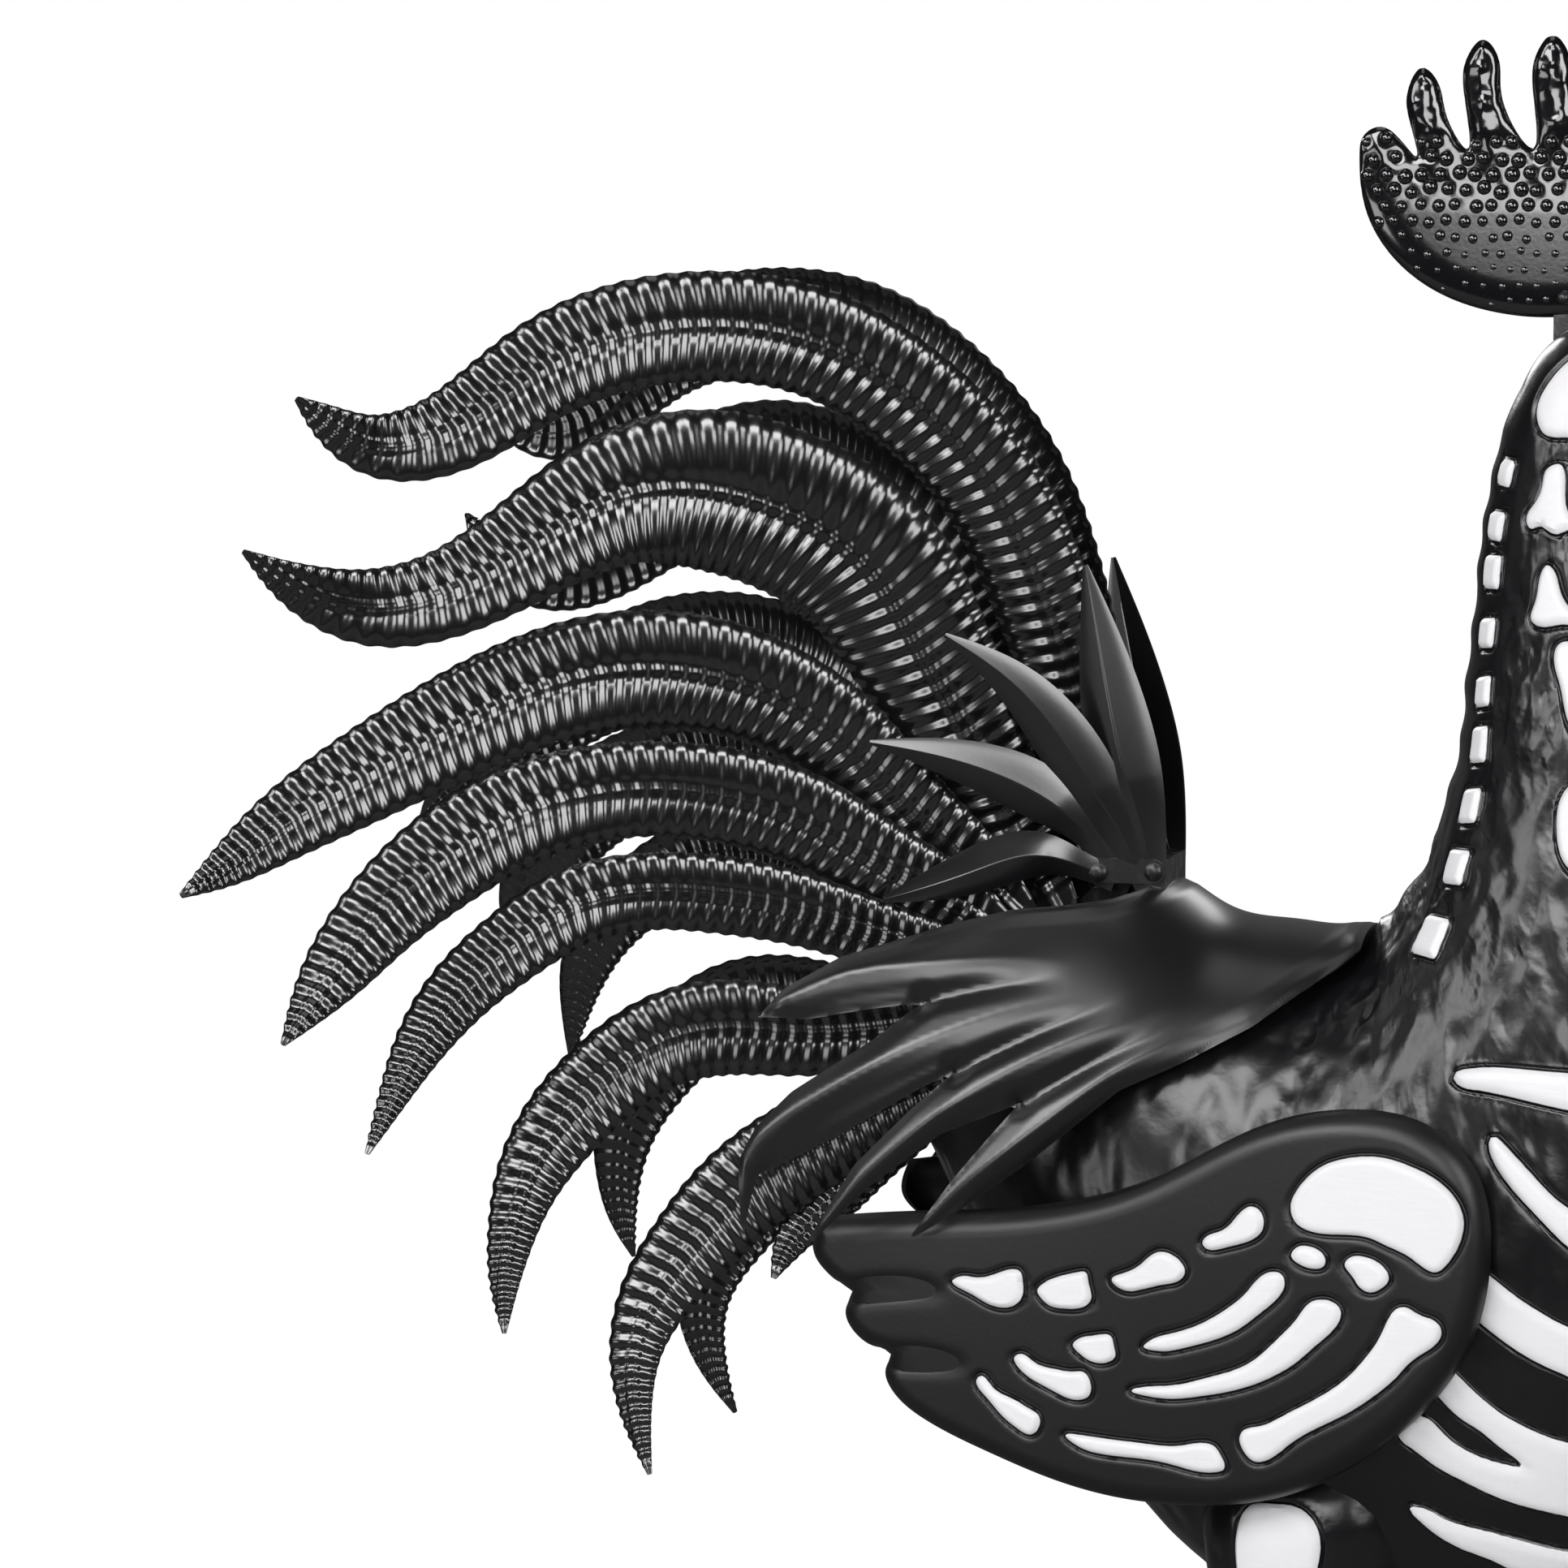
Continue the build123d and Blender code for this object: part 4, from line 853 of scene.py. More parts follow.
def hammered(points, size, depth, seed):
    """Depth of soft hammer dents scattered over points."""
    chance = np.random.default_rng(seed)
    low, high = points.min(0), points.max(0)
    area = 2 * ((high - low)[0] * (high - low)[2])
    strikes = points[chance.choice(len(points), int(1.6 * area / size ** 2))]
    tree = KDTree(len(strikes))
    for index, strike in enumerate(strikes):
        tree.insert(strike, index)
    tree.balance()
    depths = chance.uniform(0.3, 1.0, len(strikes))
    radii = chance.uniform(0.30, 0.62, len(strikes)) * size
    result = np.zeros(len(points))
    for number, point in enumerate(points):
        result[number] = sum(
            depths[index] * math.exp(-(away / radii[index]) ** 2)
            for _, index, away in tree.find_n(point, 5))
    return -depth * result


def box_distance(along, across, half_along, half_across, corner):
    """Distance inside a rounded rectangle, positive inside."""
    over_a = np.abs(along) - half_along + corner
    over_b = np.abs(across) - half_across + corner
    outside = np.hypot(np.maximum(over_a, 0), np.maximum(over_b, 0))
    return corner - outside - np.minimum(np.maximum(over_a, over_b), 0)


def backbone_field(points, normals):
    """Bone distance of the row of vertebrae down the neck."""
    places = on_body(np.array(vertebra_shares)[:, :2])
    seats = [np.argmin(np.hypot(points[:, 0] - x, points[:, 2] - z)) for x, z in places]
    chain = points[seats]
    field = np.full(len(points), -bone_reach)
    for number, (seat, row) in enumerate(zip(seats, vertebra_shares)):
        along = chain[min(number + 1, len(chain) - 1)] - chain[max(number - 1, 0)]
        outward = normals[seat]
        along -= outward * along.dot(outward)
        along /= np.linalg.norm(along)
        across = np.cross(outward, along)
        offset = points - chain[number]
        near = (np.abs(offset @ outward) < 0.012) & (np.linalg.norm(offset, axis=1) < 0.030)
        inside = box_distance(offset[near] @ along, offset[near] @ across,
                              row[2] * millimetre, row[3] * millimetre, vertebra_corner)
        field[near] = np.maximum(field[near], inside)
    return field


def run_down(grid):
    """Distance of each place from the first one of its row, along the surface."""
    steps = np.linalg.norm(np.diff(grid, axis=1), axis=2)
    return np.concatenate([np.zeros((len(grid), 1)), np.cumsum(steps, axis=1)], axis=1)


class ROOSTER_OT_body(bpy.types.Operator):
    """Build body, neck and head in hammered sheet with raised bones."""
    bl_idname = "rooster.body"
    bl_label = "Build the body"

    def execute(self, context):
        sizes = context.scene.rooster_sizes
        grid = body_surface(body_rows, body_columns)
        normals = grid_normals(grid)
        if normals[body_rows // 3, body_columns // 2, 1] > 0:
            normals = -normals
        self.ridge(grid, normals)
        flat, flat_normals = grid.reshape(-1, 3), normals.reshape(-1, 3)
        side_view = flat[:, [0, 2]]
        outlines = [closed_curve(on_body(rows), 5 * len(rows))
                    for rows in body_bone_shares.values()]
        field = np.maximum(bone_field(side_view, outlines), backbone_field(flat, flat_normals))
        field = np.minimum(field, np.hypot(*(side_view - socket_place).T) - socket_radius)
        dents = hammered(flat * fold_stretch, sizes.dent_size, sizes.dent_depth, body_seed)
        quiet = smooth_step(-field, -0.001, 0.004) * self.hammered_share(grid).ravel()
        relief = bone_relief(field, sizes.bone_rise, sizes.groove_depth) + dents * quiet
        flat = flat + flat_normals * relief[:, None]
        flat[:, 0] = np.minimum(flat[:, 0], cad_box[1][0] - box_margin)
        flat[:, 1] = np.minimum(flat[:, 1], 0.0)
        shaped = flat.reshape(grid.shape)
        inner = grid - normals * shell_wall
        inner[..., 1] = np.minimum(inner[..., 1], 0.0)
        for wall in (shaped, inner):
            wall[:, 0, 1] = wall[:, -1, 1] = 0.0
        outer = np.dstack([shaped, field.reshape(shaped.shape[:2])])
        inner = np.dstack([inner, np.full(shaped.shape[:2], -bone_reach)])
        values, faces = walled(outer, inner, inner_step)
        pair("body_and_head", ("body_shell", "head_shell"), values[:, :3], faces, "body",
             "body_paint", bone=values[:, 3], outwards=True)
        return {"FINISHED"}

    def ridge(self, grid, normals):
        """Raise the ridge that carries the backbone."""
        back = grid[:, 0, :]
        height = (back[:, 2] - belly_height) / body_tall
        height[back[:, 0] < on_body((0.43, 0))[0]] = 0.0
        levels, rises = np.array(backbone_ridge_shares).T
        rise = np.interp(height, levels, rises) * body_half_width
        for x, z in on_body(np.array(vertebra_shares)[:, :2]):
            seat = back[np.argmin(np.hypot(back[:, 0] - x, back[:, 2] - z))]
            away = np.linalg.norm(back - seat, axis=1)
            rise += vertebra_swell * np.exp(-(away / vertebra_reach) ** 2)
        grid += normals * (rise[:, None] * np.exp(-(run_down(grid) / ridge_reach) ** 2))[..., None]

    def hammered_share(self, grid):
        """How strongly each place is hammered: hardly at all beside the backbone."""
        high = smooth_step(grid[:, :1, 2], on_body((0, 0.58))[1], on_body((0, 0.68))[1])
        return 1 - high * (1 - smooth_step(run_down(grid), 0.040, 0.062)) * 0.9


# Tail feathers


tail_length, feather_width = 0.460, 0.092
hub = on_body((0.129, 0.508))
hub_pad_radius = 0.019
first_level, level_pitch = 0.0080, 0.0062
sweep_power = 1.8
feather_dome_share, valley_share = 0.060, 0.30
rachis_half_width, rachis_rise = 0.0046, 0.0016
# Feathers of the right side: level in the hub, how far out the tip stands, and rows of the
# middle line's x and z and the width
feather_shares = [
    (0, 1.23, [
        (0.076, 0.109, 0.25), (0.041, 0.296, 0.50), (-0.007, 0.454, 0.62), (-0.072, 0.600, 0.65),
        (-0.161, 0.698, 0.66), (-0.263, 0.761, 0.66), (-0.376, 0.783, 0.66), (-0.578, 0.733, 0.61),
        (-0.713, 0.646, 0.46), (-0.770, 0.643, 0.37), (-0.817, 0.670, 0.23),
        (-0.848, 0.700, 0.03)]),
    (2, 1.42, [
        (0.011, 0.080, 0.30), (-0.048, 0.189, 0.55), (-0.100, 0.296, 0.75), (-0.152, 0.396, 0.90),
        (-0.217, 0.502, 1.00), (-0.300, 0.559, 1.00), (-0.393, 0.587, 0.97), (-0.487, 0.580, 0.83),
        (-0.559, 0.543, 0.70), (-0.700, 0.459, 0.52), (-0.770, 0.450, 0.46), (-0.839, 0.474, 0.31),
        (-0.896, 0.520, 0.03)]),
    (4, 1.50, [
        (-0.030, 0.076, 0.27), (-0.080, 0.122, 0.45), (-0.170, 0.209, 0.55), (-0.246, 0.287, 0.62),
        (-0.330, 0.341, 0.67), (-0.426, 0.367, 0.72), (-0.520, 0.365, 0.72), (-0.702, 0.293, 0.64),
        (-0.789, 0.241, 0.56), (-0.867, 0.189, 0.44), (-0.924, 0.143, 0.27),
        (-0.972, 0.107, 0.03)]),
    (6, 1.50, [
        (-0.048, 0.057, 0.28), (-0.093, 0.085, 0.42), (-0.191, 0.137, 0.52), (-0.278, 0.187, 0.58),
        (-0.363, 0.215, 0.59), (-0.457, 0.226, 0.58), (-0.550, 0.215, 0.60), (-0.633, 0.183, 0.62),
        (-0.702, 0.135, 0.60), (-0.761, 0.074, 0.52), (-0.802, 0.013, 0.40),
        (-0.843, -0.067, 0.03)]),
    (7, 1.38, [
        (-0.052, 0.011, 0.26), (-0.109, 0.028, 0.35), (-0.207, 0.057, 0.42), (-0.293, 0.083, 0.46),
        (-0.378, 0.098, 0.48), (-0.463, 0.102, 0.47), (-0.548, 0.083, 0.48), (-0.611, 0.041, 0.46),
        (-0.663, -0.007, 0.42), (-0.704, -0.067, 0.34), (-0.728, -0.128, 0.21),
        (-0.750, -0.200, 0.03)]),
    (5, 0.92, [
        (-0.052, -0.057, 0.26), (-0.128, -0.059, 0.40), (-0.217, -0.070, 0.50),
        (-0.296, -0.074, 0.55), (-0.374, -0.070, 0.59), (-0.452, -0.085, 0.58),
        (-0.520, -0.128, 0.55), (-0.572, -0.183, 0.52), (-0.607, -0.241, 0.45),
        (-0.626, -0.309, 0.33), (-0.630, -0.372, 0.21), (-0.622, -0.435, 0.03)]),
    (3, 0.65, [
        (-0.043, -0.098, 0.24), (-0.135, -0.130, 0.40), (-0.226, -0.178, 0.52),
        (-0.304, -0.226, 0.60), (-0.378, -0.283, 0.59), (-0.430, -0.343, 0.54),
        (-0.474, -0.409, 0.45), (-0.493, -0.472, 0.34), (-0.489, -0.535, 0.23),
        (-0.461, -0.617, 0.03)]),
    (1, 0.34, [
        (-0.052, -0.104, 0.24), (-0.135, -0.148, 0.42), (-0.210, -0.209, 0.44),
        (-0.265, -0.274, 0.34), (-0.309, -0.333, 0.23), (-0.330, -0.383, 0.03)]),
]
rows_per_rib, rib_lean = 10, -0.16
feather_columns = 29
hump_power, edge_roll_share = 2.5, 0.045


def rib_tree():
    """Geometry nodes that press cross ribs into a feather by its fields."""
    tree = shape_group("Cross ribs", {"Sheet": "Geometry", "Rib height": "Float",
                                      "Edge wave": "Float"}, "Sheet")

    def field(name, kind="FLOAT"):
        return tree.add("GeometryNodeInputNamedAttribute", (("Name", name),), data_type=kind)

    def moved(way, distance):
        return tree.add("ShaderNodeVectorMath",
                        ((0, field(way, "FLOAT_VECTOR")), ("Scale", distance)), operation="SCALE")

    wave = tree.maths("SINE", tree.times(field("rib_phase"), 2 * math.pi))
    faded = tree.times(wave, field("rib_fade"))
    out = moved("out_way", tree.times(faded, tree.given["Rib height"]))
    wide = moved("across_way", tree.times(faded, field("edge_side"), tree.given["Edge wave"]))
    move = tree.add("ShaderNodeVectorMath", ((0, out), (1, wide)), operation="ADD")
    return real_and_painted(tree, tree.add(
        "GeometryNodeSetPosition", (("Geometry", tree.given["Sheet"]), ("Offset", move))))


def vane(rows, out_law, pitch_law, rows_per_pitch, columns, profile):
    """Sheet along a middle line: its grid, frame vectors, ribs so far and share across."""
    rough = SmoothCurve(rows).even(400)
    steps = np.linalg.norm(np.diff(rough[:, :2], axis=0), axis=1)
    ribs = np.concatenate([[0], np.cumsum(steps / pitch_law(rough[1:, 2] / 2))])
    count = int(ribs[-1] * rows_per_pitch) + 1
    phase = np.arange(count) / rows_per_pitch
    places = np.interp(phase, ribs, np.arange(400.0))
    path = np.column_stack([np.interp(places, np.arange(400.0), column) for column in rough.T])
    share = places / 399
    centre = np.column_stack([path[:, 0], -out_law(share), path[:, 1]])
    along = np.gradient(centre, axis=0)
    run = np.concatenate([[0], np.cumsum(np.linalg.norm(np.diff(centre, axis=0), axis=1))])
    along /= np.linalg.norm(along, axis=1, keepdims=True)
    across = np.column_stack([-along[:, 2], np.zeros(count), along[:, 0]])
    across /= np.linalg.norm(across, axis=1, keepdims=True)
    outward = np.cross(along, across)
    side = np.linspace(-1, 1, columns)
    side = np.sign(side) * np.abs(side) ** 1.3
    half = path[:, 2] / 2
    height = profile(half[:, None], side[None, :], share[:, None])
    grid = (centre[:, None] + across[:, None] * (half[:, None] * side[None, :])[..., None]
            + outward[:, None] * height[..., None])
    return grid, across, outward, run, phase, side, half


def feather_profile(half, side, share):
    """Two rounded vanes beside a narrow raised rib in the middle."""
    dome = feather_dome_share * 2 * half * np.minimum(1, np.maximum(0.05, 8 * share))
    away = np.abs(side)
    hump = dome * (1 - np.abs(2 * away - 1) ** hump_power)
    floor = valley_share * dome * np.clip(1 - away, 0, 1)
    roll = edge_roll_share * half * np.clip((away - 0.90) / 0.10, 0, 1) ** 2
    rachis = np.clip(1 - (away * half / rachis_half_width) ** 2, 0, 1)
    return np.maximum(hump, floor) - roll + rachis * np.minimum(rachis_rise, 0.13 * half)


def hull_of(points):
    """Corners of the smallest convex outline round flat points, in order."""
    points = points[np.lexsort(points.T[::-1])]
    outline = []
    for run in (points, points[::-1]):
        side = []
        for point in run:
            while len(side) > 1 and np.cross(side[-1] - side[-2], point - side[-1]) <= 0:
                side.pop()
            side.append(point)
        outline += side[:-1]
    return np.array(outline)


def hub_tab(root, root_run, half_root):
    """Outline of the flat tab from a feather's root to the hub pad."""
    turn = circle(32)
    ring = hub + hub_pad_radius * np.column_stack([np.cos(turn), np.sin(turn)])
    side = np.array([-root_run[1], root_run[0]]) * half_root
    return hull_of(np.concatenate([ring, [root + side, root - side]]))


def plate(outline, out):
    """A flat face in the side view, at a distance from the middle plane."""
    points = np.column_stack([outline[:, 0], np.full(len(outline), -out), outline[:, 1]])
    return points, [list(range(len(outline)))]


class ROOSTER_OT_tail(bpy.types.Operator):
    """Build the ribbed tail feathers."""
    bl_idname = "rooster.tail"
    bl_label = "Build the tail"

    def execute(self, context):
        sizes, tree = context.scene.rooster_sizes, rib_tree()
        for number, (level, tip_share, shares) in enumerate(feather_shares, 1):
            points, faces = self.feather(sizes, tree, level, tip_share, np.array(shares))
            pair(f"ribbed_tail_feather_{number}", (f"tail_feather_{number}",), points, faces,
                 "feather", "feather_paint", sharp=50, sheet=-sizes.sheet)
        return {"FINISHED"}

    def feather(self, sizes, tree, level, tip_share, shares):
        rows = np.column_stack([hub[0] + shares[:, 0] * tail_length,
                                hub[1] + shares[:, 1] * tail_length,
                                shares[:, 2] * feather_width])
        root_out = first_level + level * level_pitch
        tip_out = tip_share * body_half_width

        def pitch_law(half_width):
            return sizes.rib_pitch * (0.60 + 0.40 * smooth_step(half_width, 0.006, 0.024))

        grid, across, outward, run, phase, spread, half = vane(
            rows, lambda share: root_out + (tip_out - root_out) * share ** sweep_power, pitch_law,
            rows_per_rib, feather_columns, feather_profile)
        lean = rib_lean * np.abs(spread)[None] * half[:, None] / pitch_law(half)[:, None]
        fade = smooth_step(run, 0.004, 0.02) * smooth_step(run[-1] - run, 0.001, 0.012)
        edge_side = np.sign(spread) * smooth_step(np.abs(spread), 0.55, 1.0)
        faces = grid_faces(len(run), feather_columns).tolist()
        mesh = bpy.data.meshes.new("Vane")
        mesh.from_pydata(grid.reshape(-1, 3).tolist(), [], faces)
        set_field(mesh, "rib_phase", phase[:, None] + lean)
        set_field(mesh, "rib_fade", fade.repeat(feather_columns))
        set_field(mesh, "edge_side", edge_side[None].repeat(len(run), 0))
        for name, ways in (("out_way", outward), ("across_way", across)):
            set_field(mesh, name, ways.repeat(feather_columns, 0), "FLOAT_VECTOR")
        points, _ = run_tree(mesh, tree, rib_height=sizes.rib_height,
                             edge_wave=sizes.rib_height * 0.6, paint=finishes["feather"])
        root_run = shares[1, :2] - shares[0, :2]
        outline = hub_tab(rows[0, :2], root_run / np.linalg.norm(root_run), half[0])
        return joined([(points, faces), plate(outline, root_out)])


# Covert plumes


covert_length, covert_width, covert_out = 0.180, 0.033, 0.026
covert_spots = on_body([(0.186, 0.587), (0.243, 0.589)])
covert_blade_shares = [
    (0.05, [(0.00, -0.05, 0.42), (-0.02, 0.07, 0.66), (-0.08, 0.30, 1.16), (-0.15, 0.63, 0.90),
    (-0.21, 0.95, 0.06)]),
    (0.27, [(-0.02, -0.05, 0.40), (-0.08, 0.08, 0.56), (-0.19, 0.28, 1.00), (-0.37, 0.55, 0.82),
    (-0.60, 0.74, 0.06)]),
    (0.33, [(-0.10, -0.01, 0.42), (-0.18, 0.09, 0.50), (-0.30, 0.21, 0.90), (-0.53, 0.33, 0.80),
    (-0.82, 0.41, 0.06)]),
    (0.38, [(-0.12, -0.03, 0.40), (-0.24, 0.02, 0.50), (-0.36, 0.05, 0.78), (-0.54, 0.00, 0.76),
    (-0.77, -0.07, 0.06)]),
]
blade_columns, blade_row_pitch, covert_plate_radius = 19, 0.0022, 0.0068


def blade_profile(half, side, share):
    """A thin blade creased along its middle, with edges that roll down."""
    dome = feather_dome_share * 2 * half * np.minimum(1, np.maximum(0.05, 3 * share))
    away = np.abs(side)
    return 3.2 * dome * (1 - away) + 0.5 * dome * (1 - away ** 4)


class ROOSTER_OT_coverts(bpy.types.Operator):
    """Build the small plumes in front of the tail."""
    bl_idname = "rooster.coverts"
    bl_label = "Build the covert plumes"

    def execute(self, context):
        parts = []
        for rise_share, shares in covert_blade_shares:
            shares = np.array(shares)
            rows = np.column_stack([covert_spots[1][0] + shares[:, 0] * covert_length,
                                    covert_spots[1][1] + shares[:, 1] * covert_length,
                                    shares[:, 2] * covert_width])
            rise = rise_share * covert_length
            grid = vane(rows, lambda share: covert_out + rise * share ** sweep_power,
                        lambda half: blade_row_pitch, 1, blade_columns, blade_profile)[0]
            parts.append((grid.reshape(-1, 3), grid_faces(len(grid), blade_columns).tolist()))
        turn = circle(40)
        ends = np.where(np.cos(turn) > 0, 1, -1) * (covert_spots[1][0] - covert_spots[0][0]) / 2
        outline = np.column_stack([
            covert_spots.mean(0)[0] + ends + covert_plate_radius * np.cos(turn),
            covert_spots[1][1] + covert_plate_radius * np.sin(turn)])
        parts.append(plate(outline, covert_out))
        pair("creased_covert_spray", ("covert_spray",), *joined(parts), "covert",
             "feather_paint", sharp=50, sheet=-context.scene.rooster_sizes.sheet)
        return {"FINISHED"}


# Saddle cape


saddle_arch_shares = [
    (-0.175, 0.610, 0.325, 1.00), (-0.070, 0.615, 0.328, 1.01), (0.033, 0.615, 0.338, 0.99),
    (0.144, 0.606, 0.356, 0.92), (0.245, 0.585, 0.376, 0.84), (0.300, 0.560, 0.363, 0.84),
    (0.383, 0.549, 0.310, 0.95), (0.438, 0.548, 0.282, 1.01), (0.490, 0.562, 0.282, 1.05),
]
saddle_outline_shares = [
    (0.266, 0.640), (0.258, 0.583), (0.210, 0.573), (0.171, 0.569), (0.112, 0.565),
    (0.050, 0.554), (-0.052, 0.530), (-0.107, 0.505), (-0.133, 0.485), (-0.081, 0.485),
    (-0.026, 0.493), (0.036, 0.500), (-0.009, 0.473), (-0.090, 0.433), (-0.125, 0.406),
    (-0.140, 0.383), (-0.138, 0.322), (-0.122, 0.371), (-0.039, 0.403), (0.039, 0.438),
    (0.076, 0.452), (0.037, 0.426), (-0.020, 0.383), (-0.076, 0.315), (-0.006, 0.366),
    (0.066, 0.407), (0.142, 0.430), (0.110, 0.402), (0.079, 0.374), (0.033, 0.327),
    (0.099, 0.358), (0.153, 0.387), (0.241, 0.441), (0.297, 0.460), (0.366, 0.488),
    (0.444, 0.530), (0.460, 0.541), (0.460, 0.640),
]
# Raised creases down the fingers, each from its tip into the sheet
finger_crease_shares = [
    [(-0.133, 0.485), (-0.060, 0.512), (0.030, 0.524), (0.130, 0.530), (0.200, 0.528)],
    [(-0.139, 0.326), (-0.131, 0.388), (-0.085, 0.419), (0.000, 0.456), (0.090, 0.486),
     (0.230, 0.515)],
    [(-0.076, 0.315), (-0.020, 0.364), (0.050, 0.413), (0.120, 0.448), (0.230, 0.485),
     (0.330, 0.505)],
    [(0.033, 0.327), (0.085, 0.368), (0.150, 0.406), (0.240, 0.455), (0.330, 0.490)],
]
# Pressed valleys that run on from the notches
notch_valley_shares = [
    [(0.036, 0.500), (0.110, 0.512), (0.190, 0.518)],
    [(0.076, 0.452), (0.150, 0.478), (0.250, 0.505)],
    [(0.142, 0.430), (0.220, 0.462), (0.320, 0.496)],
]
saddle_rows, saddle_columns, saddle_turn = 205, 165, math.radians(128)
crease_rise, crease_reach, valley_reach = 0.0042, 0.0125, 0.0095
edge_slope, edge_slope_reach, edge_drop = 0.22, 0.011, 0.0012


class ROOSTER_OT_saddle(bpy.types.Operator):
    """Build the creased cape over the back."""
    bl_idname = "rooster.saddle"
    bl_label = "Build the saddle cape"

    def execute(self, context):
        arch = np.array(saddle_arch_shares)
        top, middle = on_body(arch[:, [0, 1]]), on_body(arch[:, [0, 2]])
        law = SmoothCurve(np.column_stack([top, middle[:, 1], arch[:, 3] * body_half_width]))
        rows = law.even(saddle_rows, lambda steps: np.abs(steps[:, 0]))
        turn = np.linspace(0, saddle_turn, saddle_columns)
        grid = np.zeros((saddle_rows, saddle_columns, 3))
        grid[..., 0] = rows[:, :1]
        grid[..., 1] = -rows[:, 3:4] * np.sin(turn)
        grid[..., 2] = rows[:, 2:3] + (rows[:, 1:2] - rows[:, 2:3]) * np.cos(turn)
        normals = grid_normals(grid)
        if normals[saddle_rows // 2, 0, 2] < 0:
            normals = -normals
        side_view = grid.reshape(-1, 3)[:, [0, 2]]
        keep = inside_distance(side_view, on_body(saddle_outline_shares), 0.02)
        relief = self.creases(side_view, keep).reshape(saddle_rows, saddle_columns)
        shaped = grid + normals * relief[..., None]
        shaped[:, 0, 1] = 0.0
        points, faces = trimmed(shaped, keep.reshape(saddle_rows, saddle_columns))
        piece("creased_cape", ("saddle_cape",),
              *joined([(points, faces), on_side(points, faces, LEFT)]), "cape", "cape_paint",
              sharp=50, sheet=self.inward(points, faces))
        return {"FINISHED"}

    def inward(self, points, faces):
        """Sheet thickness, signed so that it grows towards the body."""
        thickness = bpy.context.scene.rooster_sizes.sheet
        first = [points[index] for index in faces[0][:3]]
        outward = np.cross(first[1] - first[0], first[2] - first[0])
        middle = np.array([first[0][0], 0.0, on_body((0, 0.35))[1]])
        return thickness if outward.dot(first[0] - middle) > 0 else -thickness

    def creases(self, side_view, keep):
        """Height of the raised creases, the valleys between them and the rolled edge."""
        relief = np.zeros(len(side_view))
        for shares in finger_crease_shares:
            away, share = line_distance(side_view, SmoothCurve(on_body(shares)).even(50))
            fade = 1 - smooth_step(share, 0.45, 1.0)
            tent = np.clip(1 - away / crease_reach, 0, 1)
            relief += crease_rise * fade * tent * smooth_step(share, 0.0, 0.10)
        for shares in notch_valley_shares:
            away, share = line_distance(side_view, SmoothCurve(on_body(shares)).even(40))
            fade = 1 - smooth_step(share, 0.1, 1.0)
            relief -= crease_rise * fade * np.clip(1 - away / valley_reach, 0, 1) ** 1.3
        rolled = 1 - smooth_step(keep, 0.0, 0.004)
        return relief + edge_slope * np.clip(keep, 0, edge_slope_reach) - edge_drop * rolled


# Wings


wing_length, wing_height = 0.381, 0.219
wing_rear = on_body((-0.072, 0.1465))
wing_rear_out, wing_front_out = 0.74 * body_half_width, 1.075 * body_half_width
wing_dome, wing_rim = 0.025, 0.011
wing_tilt = math.asin((wing_front_out - wing_rear_out) / wing_length)
wing_dome_radius = (wing_length ** 2 / 4 + (wing_dome - wing_rim) ** 2) / (
    2 * (wing_dome - wing_rim))
wing_edge_shares = [
    (0.000, 0.640), (0.110, 0.665), (0.320, 0.705), (0.510, 0.800), (0.680, 0.955),
    (0.800, 1.000), (0.890, 0.985), (0.970, 0.890), (1.000, 0.680), (0.970, 0.430),
    (0.830, 0.150), (0.710, 0.036), (0.580, -0.004), (0.467, -0.002), (0.369, 0.028),
    (0.269, 0.081), (0.166, 0.150), (0.121, 0.205), (0.105, 0.260), (0.110, 0.306)]
wing_middle_lobe_shares = [(0.110, 0.306), (0.062, 0.344), (0.041, 0.402), (0.049, 0.454)]
wing_upper_lobe_shares = [(0.049, 0.454), (0.011, 0.498), (-0.011, 0.545), (0.000, 0.640)]
